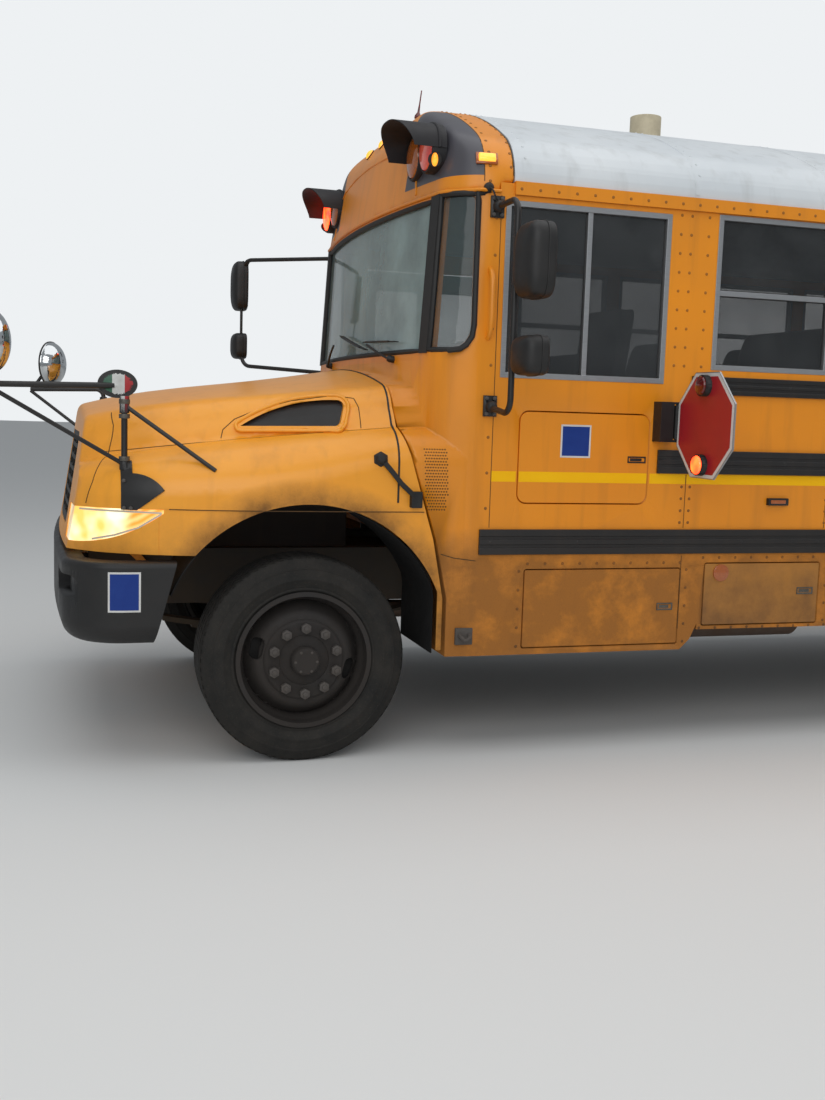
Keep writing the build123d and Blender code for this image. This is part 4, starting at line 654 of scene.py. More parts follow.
# Reflective stripe: bright yellow sheeting stuck along the side between the
# upper rails, cut at the driver's service door and behind it.
def sheeting(name, fresh, faded, roughness, fade_scale, fade_detail=4.0, shine=0.5):
    """Retroreflective sheeting: prism cells 3 mm across under a clear film that the sun fades in patches."""
    material, tree, surface = new_material(name)
    place = add(tree, "ShaderNodeTexCoord").outputs["Object"]
    cells = add(tree, "ShaderNodeTexVoronoi", {"Vector": place, "Scale": 330.0})
    fade = add(tree, "ShaderNodeTexNoise", {"Vector": place, "Scale": fade_scale, "Detail": fade_detail})
    tone = add(tree, "ShaderNodeMix", {0: fade.outputs[0], 6: linear(fresh), 7: linear(faded)}, data_type="RGBA")
    tree.links.new(tone.outputs[2], surface.inputs["Base Color"])
    surface.inputs["Roughness"].default_value = roughness
    surface.inputs["Specular IOR Level"].default_value = shine
    embossed = add(tree, "ShaderNodeBump", {"Height": cells.outputs["Distance"], "Strength": 0.15, "Distance": 0.001})
    tree.links.new(embossed.outputs[0], surface.inputs["Normal"])
    return material


stripe_sheet = sheeting("yellow retroreflective sheeting", "#FFC800", "#F8B400", 0.45, 5.0, shine=0.25)
STRIPES = [
    # body, side, front end, rear end
    ("root", 1, -0.797, -0.911), ("access_door", 1, -0.925, -1.552), ("root", 1, -1.567, -1.752),
    ("root", 1, -1.758, -9.85), ("root", -1, -1.700, -9.85),
]
for number, (body, side, front, back) in enumerate(STRIPES):
    path = [on_side(side, x, 1.261) for x in (front, back)]
    done(strip(f"reflective_stripe_{number + 1}", path, 0.046, 0.0009), stripe_sheet, body)


# Rub rails: pressed steel channels with two grooves, painted black, bolted
# through the sheet and cut square at both ends.
rail_black = enamel("black rub rail enamel", "#171616", "#242120", soil="#43372B", soil_top=1.15, soil_most=0.45,
                    roughness=0.42)
worked("rub_rails", "rub_rails_finished", rail_black, 0.004, 40)
RAIL_STAND = 0.0145
BOLT_PITCH = 0.42
bolts = []
for side in (1, -1):
    for z in (1.691, 1.340, 0.972):
        first = -1.85 if side < 0 or z > 1.2 else -0.80
        count = int((9.80 + first) / BOLT_PITCH)
        bolts += [on_side(side, first - BOLT_PITCH * k, z, RAIL_STAND) for k in range(count)]
screw = round_head("screw", 0.0085, 0.3)
done(repeated("rub_rail_bolts", screw, bolts), rail_black)
discard(screw)


# Roof: white enamelled sheet bent over bows and riveted to them every window
# pitch, with a yellow drip rail along each eave.
roof_white = enamel("chalky white roof enamel", "#DADEE0", "#C6CCD0", soil="#8D8C86", soil_top=2.4, soil_most=0.3,
                    roughness=0.42, streak=0.3)
roof = worked("roof", "roof_painted", roof_white, 0.0, 30)
roof.data.materials.append(body_yellow)
for face in roof.data.polygons:
    if face.center.z < 2.521 and abs(face.center.y) > 1.18:
        face.material_index = 1
roof_skin = skin("roof")


def over_roof(tree, x, angles, half, rise, back):
    """A path from eave to eave, from rays that run from an arch over the roof towards the cabin's middle."""
    path = []
    for angle in map(math.radians, angles):
        spot = at(x, half * math.cos(angle), 2.35 + rise * math.sin(angle))
        way = (at(x, 0, 2.2) - spot).normalized()
        path += struck(tree, spot - way * back, way)
    return path


bow_rivets = []
for k in range(13):
    bow = over_roof(roof_skin, -0.905 if k == 0 else -1.040 - WINDOW_PITCH * k, range(14, 168, 4), 1.25, 0.9, 0.3)
    bow_rivets += [pair for pair in bow if abs(pair[0].y) < 1.19]
done(repeated("roof_bow_rivets", rivet, bow_rivets), roof_white)
for k in range(1, 13):
    bow = over_roof(roof_skin, -1.040 - WINDOW_PITCH * k + 0.018, range(12, 170, 3), 1.25, 0.9, 0.3)
    path = [pair for pair in bow if pair[0].z > 2.53]
    done(strip(f"roof_sheet_lap_{k}", path, 0.022, 0.0016), roof_white)


# Windows: extruded aluminium frames, and dark tinted glass that lets the far
# windows show through. The windshield is paler and greener, its pale tint and heavier film a painted sky reflection.
aluminium, tree, surface = new_material("weathered mill aluminium")
place = add(tree, "ShaderNodeTexCoord").outputs["Object"]
drawn = add(tree, "ShaderNodeMapping", {"Vector": place, "Scale": (2.0, 40.0, 40.0)})
lines = add(tree, "ShaderNodeTexNoise", {"Vector": drawn.outputs[0], "Scale": 12.0, "Detail": 3.0})
tone = add(tree, "ShaderNodeMix", {0: lines.outputs[0], 6: linear("#8D8F91"), 7: linear("#B4B6B8")}, data_type="RGBA")
tree.links.new(tone.outputs[2], surface.inputs["Base Color"])
surface.inputs["Metallic"].default_value = 0.75
surface.inputs["Roughness"].default_value = 0.42
worked("window_frames", "window_frames_extruded", aluminium, 0.002, 40)


def glazing(name, tint, cover):
    """Toughened float glass: tinted in the mass, mirror smooth, with a film of road dust on it; on the pale windshield
    the heavy film is painted sky reflection.
    """
    material, tree, surface = new_material(name)
    place = add(tree, "ShaderNodeTexCoord").outputs["Object"]
    film = add(tree, "ShaderNodeTexNoise", {"Vector": place, "Scale": 3.5, "Detail": 7.0, "Roughness": 0.6})
    dusty = add(tree, "ShaderNodeMapRange", {"Value": film.outputs[0], "From Min": 0.4, "From Max": 0.75,
                                             "To Min": cover, "To Max": cover + 0.10})
    tone = add(tree, "ShaderNodeMix", {0: film.outputs[0], 6: linear(tint), 7: linear("#4C4F50")}, data_type="RGBA")
    tree.links.new(tone.outputs[2], surface.inputs["Base Color"])
    tree.links.new(dusty.outputs[0], surface.inputs["Alpha"])
    surface.inputs["Roughness"].default_value = 0.04
    surface.inputs["Specular IOR Level"].default_value = 0.6
    return material


side_glass = glazing("dark tinted toughened glass", "#14171A", 0.44)
panes = worked("glazing", "window_panes", side_glass, 0.0, 30)
# the windshield's pale tint and heavy cover are painted sky reflection
panes.data.materials.append(glazing("green laminated windshield glass", "#BCDAD8", 0.60))
panes.data.materials.append(glazing("dark tinted sliding glass", "#14171A", 0.62))
panes.data.materials.append(glazing("shaded laminated corner glass", "#5F7575", 0.34))
WINDSHIELD, DRIVER, CORNER = 1, 2, 3
PILLAR_Y = 1.0235
windshield_back = at(-0.74, 0, 0).x
driver_back = at(-1.70, 0, 0).x
for face in panes.data.polygons:
    if face.center.x > windshield_back:
        face.material_index = CORNER if abs(face.center.y) > PILLAR_Y else WINDSHIELD
    elif face.center.x > driver_back and face.center.y > 0:
        face.material_index = DRIVER

# Glazing rubber: a black lip seals every pane to its frame.
rubber, tree, surface = new_material("black EPDM glazing rubber")
place = add(tree, "ShaderNodeTexCoord").outputs["Object"]
bloom = add(tree, "ShaderNodeTexNoise", {"Vector": place, "Scale": 26.0, "Detail": 5.0})
tone = add(tree, "ShaderNodeMix", {0: bloom.outputs[0], 6: linear("#121212"), 7: linear("#262524")}, data_type="RGBA")
tree.links.new(tone.outputs[2], surface.inputs["Base Color"])
surface.inputs["Roughness"].default_value = 0.6
skin_grain = add(tree, "ShaderNodeTexNoise", {"Vector": place, "Scale": 300.0, "Detail": 2.0})
grain_bump = add(tree, "ShaderNodeBump", {"Height": skin_grain.outputs[0], "Strength": 0.12, "Distance": 0.001})
tree.links.new(grain_bump.outputs[0], surface.inputs["Normal"])
BAR = 0.024
GLASS_FACE = 1.191
PANES = [
    # x0, x1, z0, z1
    (-1.612 + BAR, -1.215 - BAR / 2, 1.690 + BAR, 2.440 - BAR),
    (-1.215 + BAR / 2, -0.818 - BAR, 1.690 + BAR, 2.440 - BAR),
]
for k in range(11):
    front = FIRST_WINDOW - WINDOW_PITCH * k
    PANES += [(front - WINDOW_WIDTH + BAR, front - BAR, 1.762 + BAR, 2.110 - BAR / 2),
              (front - WINDOW_WIDTH + BAR, front - BAR, 2.110 + BAR / 2, 2.458 - BAR)]
for number, (x0, x1, z0, z1) in enumerate(PANES):
    for side, name in SIDES:
        # the driver's two panes are on the left only
        if side > 0 or number > 1:
            loop = rounded_loop(x0, x1, z0, z1, side * GLASS_FACE, 0.016, 3)
            done(rod(f"pane_seal_{name}_{number}", loop, 0.005, closed=True, sides=1), rubber)


# Windshield seal: one thick rubber moulding round the corner glass, the centre
# glass and the black pillar strip between them.
SCREEN_LOW = 1.796
SCREEN_HIGH = 2.464
SEAL_RADIUS = 0.013
SCREEN_BOW = 0.075
CORNER_REAR = [(-0.694, 2.428), (-0.694, 1.908), (-0.686, 1.858), (-0.661, 1.822), (-0.632, 1.803), (-0.582, 1.796)]


def nose_plan(y, z, inset=0.0):
    """How far forward the windshield's outline is at one y and z: straight side, round corner, shallow bow."""
    tip = -0.445 - 0.040 * (z - 1.76) / 0.71 - inset
    corner = 0.210 - inset
    turn = 1.207 - inset - corner
    if abs(y) <= turn:
        radius = (turn * turn + SCREEN_BOW * SCREEN_BOW) / (2 * SCREEN_BOW)
        return tip - radius + math.sqrt(radius * radius - y * y)
    return tip - SCREEN_BOW - corner + math.sqrt(max(corner * corner - (abs(y) - turn) ** 2, 0.0))


def screen_spot(y, z, inset):
    """A place on the windshield's outline, set in or out."""
    return at(nose_plan(y, z, inset), y, z)


for side, name in SIDES:
    y_in, y_out = 1.062, 1.199
    across = [y_in + (y_out - y_in) * k / 6 for k in range(7)]
    top = [screen_spot(side * y, SCREEN_HIGH - 0.004, 0.006) for y in across]
    low = [screen_spot(side * y, SCREEN_LOW + 0.004, 0.006) for y in reversed(across[:5])]
    rear = [at(x, side * 1.201, z) for x, z in [(-0.690, 2.455)] + CORNER_REAR]
    inner = [screen_spot(side * y_in, SCREEN_LOW + (SCREEN_HIGH - SCREEN_LOW) * k / 6, 0.006) for k in range(1, 6)]
    done(rod(f"{name}_corner_glass_seal", top + rear + low + inner, SEAL_RADIUS, closed=True), rubber)
across = [-0.985 + 1.97 * k / 20 for k in range(21)]
top = [screen_spot(y, 2.446, 0.006) for y in across]
low = [screen_spot(y, 1.798, 0.006) for y in reversed(across)]
done(rod("windshield_seal", top + low, SEAL_RADIUS, closed=True), rubber)
for side, name in SIDES:
    path = []
    for k in range(13):
        z = 1.788 + (2.468 - 1.788) * k / 12
        along = (screen_spot(side * 1.034, z, 0) - screen_spot(side * 1.013, z, 0)).normalized()
        outward = along.cross(Vector((0, 0, 1))) * side
        path.append((screen_spot(side * PILLAR_Y, z, 0), outward if outward.x > 0 else -outward))
    done(strip(f"{name}_pillar_strip", path, 0.082, 0.004, 0.001), rubber)


# Front roof cap: moulded yellow cap with dark grey corner panels behind the
# lamps, a plain yellow sign panel between them, and a riveted band at its back.
cap_grey = enamel("dark grey cap corner enamel", "#434248", "#504F55", soil="#3F3A35", soil_top=2.2, soil_most=0.2,
                  roughness=0.38)
cap = worked("front_cap", "front_cap_painted", body_yellow, 0.0, 60)
# an even mesh lets the moulded corners be rounded, away from the roof and the screen
bpy.context.view_layer.objects.active = cap
even = cap.modifiers.new("even", "REMESH")
even.mode = "VOXEL"
even.voxel_size = 0.013
even.use_smooth_shade = True
bpy.ops.object.modifier_apply(modifier="even")
free = cap.vertex_groups.new(name="free")
for corner in cap.data.vertices:
    behind = (corner.co.x - at(-0.835, 0, 0).x) / 0.10
    above = (corner.co.z - 2.505) / 0.10
    free.add([corner.index], max(0.0, min(1.0, behind, above)), "REPLACE")
rounder = cap.modifiers.new("rounder", "SMOOTH")
rounder.factor = 0.9
rounder.iterations = 34
rounder.vertex_group = "free"
bpy.ops.object.modifier_apply(modifier="rounder")
cap_surface = BVHTree.FromPolygons([v.co for v in cap.data.vertices], [p.vertices for p in cap.data.polygons])
bpy.ops.object.mode_set(mode="EDIT")
GREY_BACK = -0.718
GREY_INSIDE = 0.655
GREY_LOW = 2.535
for cut, normal in ((at(GREY_BACK, 0, 0), (1, 0, 0)), (at(0, GREY_INSIDE, 0), (0, 1, 0)),
                    (at(0, -GREY_INSIDE, 0), (0, 1, 0)), (at(0, 0, GREY_LOW), (0, 0, 1))):
    bpy.ops.mesh.select_all(action="SELECT")
    bpy.ops.mesh.bisect(plane_co=cut, plane_no=normal)
bpy.ops.object.mode_set(mode="OBJECT")
cap.data.materials.append(cap_grey)
grey_x = at(GREY_BACK, 0, 0).x
for face in cap.data.polygons:
    if face.center.x > grey_x and abs(face.center.y) > GREY_INSIDE and face.center.z > GREY_LOW:
        face.material_index = 1


def over_cap(x, first, last, step):
    """A path over the cap from eave to eave at one place along the bus."""
    path = over_roof(cap_surface, x, range(first, last + 1, step), 1.5, 1.1, 0.0)
    return [pair for pair in path if pair[0].z > 2.50]


done(repeated("cap_band_rivets", rivet, over_cap(-0.742, 8, 172, 4) + over_cap(-0.836, 8, 172, 4)), rivet_shade_darkened)
done(strip("cap_rear_lap", over_cap(-0.848, 6, 174, 2), 0.010, 0.0015), seam_dark)
done(strip("cap_grey_edge", over_cap(GREY_BACK, 8, 60, 2), 0.004, 0.001), seam_dark)
done(strip("cap_grey_edge_right", over_cap(GREY_BACK, 120, 172, 2), 0.004, 0.001), seam_dark)
# the sign panel has a raised edge and stays blank
BACKWARD = Vector((-1, 0, 0))
SIGN_EDGE = [(-0.80, 2.50), (-0.725, 2.700), (-0.60, 2.735), (-0.3, 2.755), (0.0, 2.762), (0.3, 2.755),
             (0.60, 2.735), (0.725, 2.700), (0.80, 2.50)]
bead = [spot for y, z in SIGN_EDGE for spot, _ in struck(cap_surface, at(0.5, y, z), BACKWARD)]
done(rod("sign_panel_bead", bead, 0.006), body_yellow)
brow = [at(nose_plan(y, 2.47, -0.004), y, 2.472) for y in (-1.10 + 2.20 * k / 40 for k in range(41))]
brow = [at(x, -1.211, 2.472) for x in (-0.79, -0.70)] + brow + [at(x, 1.211, 2.472) for x in (-0.70, -0.79)]
done(rod("windshield_brow_bead", brow, 0.008), body_yellow)


# Hood: one moulding of glass fibre with both fenders, painted yellow. It tilts
# forward on two gooseneck arms, and road soil clings round the wheel arches.
# brighter than the body's enamel: the hood's own yellow, raised as a painted highlight of the sky on its top
hood_yellow_sky_highlit = enamel("moulded hood yellow enamel", "#FCAA30", "#EF9C2B", soil="#5E4022", soil_top=1.20,
                     soil_most=0.85, roughness=0.3, streak=0.16, arch_x=AXLE_X)
worked("hood", "hood_moulded", hood_yellow_sky_highlit, 0.0, 26)


def moulded(name, fresh, dusty, grain, roughness, dust_scale=9.0):
    """Moulded plastic: a fine leather grain from the tool, greyed in patches by dust."""
    material, tree, surface = new_material(name)
    place = add(tree, "ShaderNodeTexCoord").outputs["Object"]
    dust = add(tree, "ShaderNodeTexNoise", {"Vector": place, "Scale": dust_scale, "Detail": 6.0, "Roughness": 0.65})
    share = add(tree, "ShaderNodeMapRange", {"Value": dust.outputs[0], "From Min": 0.35, "From Max": 0.75})
    tone = add(tree, "ShaderNodeMix", {0: share.outputs[0], 6: linear(fresh), 7: linear(dusty)}, data_type="RGBA")
    tree.links.new(tone.outputs[2], surface.inputs["Base Color"])
    dull = add(tree, "ShaderNodeMapRange", {"Value": dust.outputs[0], "From Min": 0.3, "From Max": 0.7,
                                            "To Min": roughness, "To Max": min(roughness + 0.2, 1.0)})
    tree.links.new(dull.outputs[0], surface.inputs["Roughness"])
    leather = add(tree, "ShaderNodeTexVoronoi", {"Vector": place, "Scale": 1.0 / grain})
    bump = add(tree, "ShaderNodeBump", {"Height": leather.outputs["Distance"], "Strength": 0.25, "Distance": 0.0006})
    tree.links.new(bump.outputs[0], surface.inputs["Normal"])
    return material


black_abs = moulded("moulded black ABS", "#131313", "#211F1E", 0.003, 0.42)
grille_abs = moulded("moulded black grille ABS", "#151515", "#2A2622", 0.003, 0.5)
worked("hood_vents", "hood_vents_moulded", black_abs, 0.0, 30)
worked("grille", "grille_moulded", grille_abs, 0.002, 35)


VENT_LIP = [
    (0.262, 1.426), (0.100, 1.431), (-0.060, 1.435), (-0.142, 1.437), (-0.156, 1.440), (-0.168, 1.447),
    (-0.178, 1.457), (-0.185, 1.469), (-0.204, 1.531), (-0.206, 1.552), (-0.198, 1.572), (-0.182, 1.586),
    (-0.162, 1.591), (-0.162, 1.591), (-0.126, 1.590), (-0.091, 1.588), (-0.056, 1.584), (-0.021, 1.579),
    (0.014, 1.572), (0.048, 1.564), (0.082, 1.554), (0.115, 1.542), (0.148, 1.529), (0.180, 1.515),
    (0.212, 1.499), (0.243, 1.481), (0.273, 1.463), (0.281, 1.453), (0.281, 1.440), (0.274, 1.430),
]


def on_hood(points, way, steps=1):
    return traced("hood", [at(*point) for point in points], way, steps)


VENT_PANEL = [(0.345, 1.392), (0.335, 1.428), (0.283, 1.474), (0.180, 1.520), (0.040, 1.560), (-0.150, 1.590),
              (-0.235, 1.580), (-0.252, 1.540), (-0.250, 1.452)]
NOSE_SEAM = [(0.782, 0.700, 1.478), (0.784, 0.780, 1.430), (0.795, 0.815, 1.375), (0.815, 0.850, 1.325),
             (0.845, 0.905, 1.265), (0.876, 0.946, 1.195), (0.905, 0.942, 1.110)]
for side, name in SIDES:
    inward = (0, -side, 0)
    # the vent stands on its own moulded panel, let in above the crease
    HOOD_SEAMS = [
        # name, path, way the rays run, steps, width, thickness
        ("fender_step_shadow", [(x, side * 1.3, 1.1005) for x in (-0.50, -0.2, 0.1, 0.35, 0.58)], inward, 6, 0.0035, 0.0012),
        ("fender_crease_shade", [(x, side * 1.3, z) for x, z in ((0.84, 1.318), (0.60, 1.350), (0.30, 1.388), (0.0, 1.420),
                                                           (-0.37, 1.458))], inward, 6, 0.003, 0.001),
        ("nose_seam", [(x, side * y, z) for x, y, z in NOSE_SEAM], (-0.45, -0.8 * side, -0.4), 5, 0.004, 0.0012),
        ("vent_panel_seam", [(x, side * 1.3, z) for x, z in VENT_PANEL], inward, 10, 0.0035, 0.0016),
    ]
    # the dark strips along the fender's step and crease are painted shade
    for seam, points, way, steps, width, thick in HOOD_SEAMS:
        done(strip(f"{name}_{seam}", on_hood(points, way, steps), width, thick), seam_dark, "hood")
    lip = [spot for spot, _ in on_hood([(x, side * 1.3, z) for x, z in VENT_LIP], inward)]
    done(rod(f"{name}_vent_lip", lip, 0.0085, closed=True, sides=4), hood_yellow_sky_highlit, "hood", angle=70)

# Grille mesh: a fine expanded-metal screen behind the moulded bars, its openings painted near black as shade.
screen_metal, tree, surface = new_material("expanded metal screen with painted shade in its openings")
place = add(tree, "ShaderNodeTexCoord").outputs["Object"]
# the screen's cells are 12 mm across
mesh_cells = add(tree, "ShaderNodeTexVoronoi", {"Vector": place, "Scale": 85.0}, feature="DISTANCE_TO_EDGE")
opening = add(tree, "ShaderNodeMapRange", {"Value": mesh_cells.outputs["Distance"], "From Min": 0.04,
                                           "From Max": 0.16})
# the openings are painted shade of the dark space behind the grille
tone = add(tree, "ShaderNodeMix", {0: opening.outputs[0], 6: linear("#2E2C2A"), 7: linear("#050505")}, data_type="RGBA")
tree.links.new(tone.outputs[2], surface.inputs["Base Color"])
surface.inputs["Roughness"].default_value = 0.6
wires = add(tree, "ShaderNodeBump", {"Height": opening.outputs[0], "Strength": 0.5, "Distance": 0.002})
wires.invert = True
tree.links.new(wires.outputs[0], surface.inputs["Normal"])
screen = start("grid", "grille_screen", (0, 0, 0), x_subdivisions=24, y_subdivisions=10, size=1)
for corner in screen.data.vertices:
    y, z = corner.co.x * 1.10, 1.190 + corner.co.y * 0.36
    # the grille leans back as it rises and bows back towards its sides
    front = 1.005 - 0.159 * (z - 0.910) - 0.060
    corner.co = at(front - 0.045 * (y / 0.6) ** 2 * 0.55, y, z)
done(thickened(screen, 0.002, -1), screen_metal, "hood")

# Headlamps: one clear moulded cover wraps each front corner, with a bright lamp
# lit behind it and an amber turn lamp at its rear tip.
lamp_cover, tree, surface = new_material("lit clear polycarbonate headlamp cover")
place = add(tree, "ShaderNodeTexCoord").outputs["Object"]
along_bus = add(tree, "ShaderNodeSeparateXYZ", {0: place}).outputs["X"]
to_amber = add(tree, "ShaderNodeMapRange", {"Value": along_bus, "From Min": at(0.775, 0, 0).x,
                                            "From Max": at(0.715, 0, 0).x}, interpolation_type="SMOOTHSTEP")
# the reflector behind the cover is fluted every 9 mm
flutes = add(tree, "ShaderNodeTexWave", {"Vector": place, "Scale": 18.0, "Distortion": 1.5, "Detail": 2.0},
             bands_direction="DIAGONAL")
glare = add(tree, "ShaderNodeTexNoise", {"Vector": place, "Scale": 7.0, "Detail": 2.0})
hot = add(tree, "ShaderNodeMapRange", {"Value": glare.outputs[0], "From Min": 0.38, "From Max": 0.6})
white_part = add(tree, "ShaderNodeMix", {0: hot.outputs[0], 6: linear("#F2B95A"), 7: linear("#FFF1C4")},
                 data_type="RGBA")
amber_part = add(tree, "ShaderNodeMix", {0: flutes.outputs[0], 6: linear("#E98A2C"), 7: linear("#F4B46A")},
                 data_type="RGBA")
glow = add(tree, "ShaderNodeMix", {0: to_amber.outputs[0], 6: white_part.outputs[2], 7: amber_part.outputs[2]},
           data_type="RGBA")
tree.links.new(glow.outputs[2], surface.inputs["Base Color"])
tree.links.new(glow.outputs[2], surface.inputs["Emission Color"])
surface.inputs["Emission Strength"].default_value = 1.1
surface.inputs["Roughness"].default_value = 0.08
surface.inputs["Coat Weight"].default_value = 0.8
surface.inputs["Coat Roughness"].default_value = 0.03
fluted = add(tree, "ShaderNodeBump", {"Height": flutes.outputs[0], "Strength": 0.12, "Distance": 0.002})
tree.links.new(fluted.outputs[0], surface.inputs["Normal"])
worked("headlamps", "headlamps_lit", lamp_cover, 0.0022, 30)
# the clear rim is painted pale cream: a painted highlight along the edge of the cover
lamp_rim_highlight = patchy("clear polycarbonate rim with painted highlight", "#C2B199", "#E4D9C4", 20.0, 4.0, 0.2)
# round the rear tip, from the nose along the top and back along the bottom
LAMP_EDGE = [(0.930, 0.913, 1.085), (0.880, 0.962, 1.085), (0.800, 1.020, 1.085), (0.700, 1.080, 1.085),
             (0.610, 1.117, 1.084), (0.616, 1.115, 1.076), (0.700, 1.080, 1.020), (0.790, 1.026, 0.985),
             (0.880, 0.962, 0.962)]
for side, name in SIDES:
    path = traced("headlamps", [at(x, side * y, z) for x, y, z in LAMP_EDGE], (-0.45, -0.89 * side, 0), 5)
    done(strip(f"{name}_headlamp_rim", path, 0.008, 0.003), lamp_rim_highlight, "hood")

# Hood seal and latches: a black bulb seal closes the joint between the hood and
# the cowl, and a rubber strap from knob to catch holds each side down.
hood_skin = skin("hood")
SEAL_X = -0.3805
seal = []
for turn in (math.radians(9 + 162 * k / 70) for k in range(71)):
    spot = at(SEAL_X, 1.7 * math.cos(turn), 1.05 + 1.2 * math.sin(turn))
    seal += struck(hood_skin, spot, (at(SEAL_X, 0.75 * math.cos(turn), 1.05) - spot).normalized())
done(strip("hood_rear_seal", seal, 0.008, 0.003), rubber, "hood", angle=60)
latch_black = moulded("black strap rubber", "#101010", "#242220", 0.004, 0.55)


def box(name, x0, x1, y0, y1, z0, z1):
    """A block between six planes, measured from the front axle."""
    low, high = at(min(x0, x1), min(y0, y1), min(z0, z1)), at(max(x0, x1), max(y0, y1), max(z0, z1))
    size = high - low
    return start("cube", name, (low + high) / 2, size=1, scale=size)


def recessed(piece, way, *steps):
    """The faces that look along way, inset by each (width, depth); a depth below 0 lets them in."""
    way = Vector(way)
    pick(piece, lambda middle, normal: normal.dot(way) > 0.9)
    for width, depth in steps:
        bpy.ops.mesh.inset(thickness=width, depth=depth)
    bpy.ops.object.mode_set(mode="OBJECT")
    return piece


KNOB = [(0.0, -0.004), (0.034, -0.004), (0.034, 0.006), (0.024, 0.010), (0.024, 0.024), (0.017, 0.030), (0.0, 0.030)]
for side, name in SIDES:
    anchor = on_hood([(-0.300, side * 1.3, 1.325)], (0, -side, 0))[0]
    knob = turned(f"{name}_strap_knob", anchor[0], anchor[1], KNOB, 6)
    done(knob, latch_black, "hood", 0.002)
    catch = box(f"{name}_strap_catch", -0.432, -0.482, side * 1.175, side * 1.222, 1.120, 1.190)
    done(recessed(catch, (0, side, 0), (0.010, -0.004)), latch_black, "root", 0.004)
    strap = [(anchor[0] + anchor[1] * 0.012, anchor[1]),
             (at(-0.345, side * 1.205, 1.275), Vector((0, side, 0.1)).normalized()),
             (at(-0.385, side * 1.214, 1.225), Vector((0, side, 0))),
             (at(-0.440, side * 1.219, 1.175), Vector((0, side, 0)))]
    done(strip(f"{name}_hood_strap", strap, 0.022, 0.006), latch_black, "hood", 0.0015)


# Wheel arch liners: black moulded sheets under the fenders, which tilt with the hood and keep the road spray
# off the engine. Their near-black is painted shade inside the arches.
liner_shade_black = moulded("black liner polyethylene darkened as painted arch shade", "#060606", "#0E0C0A", 0.004, 0.8)
ARCH_RADIUS = 0.616
for side, name in SIDES:
    liner = start("grid", f"{name}_arch_liner", (0, 0, 0), x_subdivisions=40, y_subdivisions=4, size=1)
    for corner in liner.data.vertices:
        turn = math.radians(22 + 162 * (corner.co.x + 0.5))
        # the sheet stops short of the cowl behind the wheel
        corner.co = at(max(ARCH_RADIUS * math.cos(turn), -0.568), side * (0.905 + corner.co.y * 0.47),
                       ARCH_Z + ARCH_RADIUS * math.sin(turn))
    done(thickened(liner, 0.005), liner_shade_black, "hood", angle=50)


# Front bumper: one black moulding with a round chin and an oval recess at each
# corner, greyed by dust in patches. A blank blue sheet is stuck on its side.
worked("front_bumper", "front_bumper_moulded", black_abs, 0.0, 34)
blue_sheet = sheeting("blue retroreflective sheeting", "#12307C", "#203F8A", 0.4, 14.0, shine=0.25)
white_sheet = sheeting("white retroreflective sheeting", "#E4E4E2", "#BFBDB8", 0.32, 9.0, 5.0)


def blank_square(name, path, across, body):
    """A square sticker: blue sheet inside a narrow white border, with nothing printed on it."""
    done(strip(name + "_border", path, across, 0.0008), white_sheet, body)
    inner = list(path)
    for end, beside in ((0, 1), (-1, -2)):
        short = 0.008 / (path[beside][0] - path[end][0]).length
        inner[end] = (path[end][0].lerp(path[beside][0], short), path[end][1])
    done(strip(name + "_blue", inner, across - 0.016, 0.0008, 0.0007), blue_sheet, body)


patch = traced("front_bumper", [at(0.825, 1.4, 0.765), at(0.695, 1.4, 0.765)], (0, -1, 0), 6)
blank_square("bumper_square", patch, 0.165, "root")


# Service doors: flush steel leaves in round-cornered openings along the left
# side. Each has a recessed latch, and the access door a blank blue square.
latch_zinc, tree, surface = new_material("dusty zinc latch plate")
place = add(tree, "ShaderNodeTexCoord").outputs["Object"]
spangle = add(tree, "ShaderNodeTexVoronoi", {"Vector": place, "Scale": 120.0})
tone = add(tree, "ShaderNodeMix", {0: spangle.outputs["Distance"], 6: linear("#55524C"), 7: linear("#6C675F")},
           data_type="RGBA")
tree.links.new(tone.outputs[2], surface.inputs["Base Color"])
surface.inputs["Metallic"].default_value = 0.6
surface.inputs["Roughness"].default_value = 0.5
dusty_door = enamel("dust-covered door enamel", "#C9862B", "#A8743A", soil="#6B4A2C", soil_top=1.25, soil_most=0.85,
                    roughness=0.5)
DOORS = [
    # CAD node, latch from x, to x, middle z, height, latch finish, door finish
    ("access_door", -1.452, -1.543, 1.345, 0.030, black_abs, body_yellow),
    ("battery_door", -1.640, -1.722, 0.668, 0.034, latch_zinc, body_yellow),
    ("luggage_door", -2.391, -2.481, 0.731, 0.034, latch_zinc, dusty_door),
]
for part, x0, x1, z, tall, metal, finish in DOORS:
    worked(part, part + "_painted", finish, 0.003, 30)
    plate = box(part + "_latch", x0, x1, SIDE - 0.004, SIDE + 0.003, z - tall / 2, z + tall / 2)
    done(recessed(plate, (0, 1, 0), (0.005, 0), (0.003, -0.005)), metal, part, 0.001)
    paddle = box(part + "_paddle", x0 - 0.012, x1 + 0.020, SIDE - 0.003, SIDE + 0.001, z - tall * 0.22, z + tall * 0.22)
    done(paddle, metal, part, 0.001)
blank_square("access_door_square", [on_side(1, x, 1.422) for x in (-1.119, -1.192, -1.265)], 0.146, "access_door")


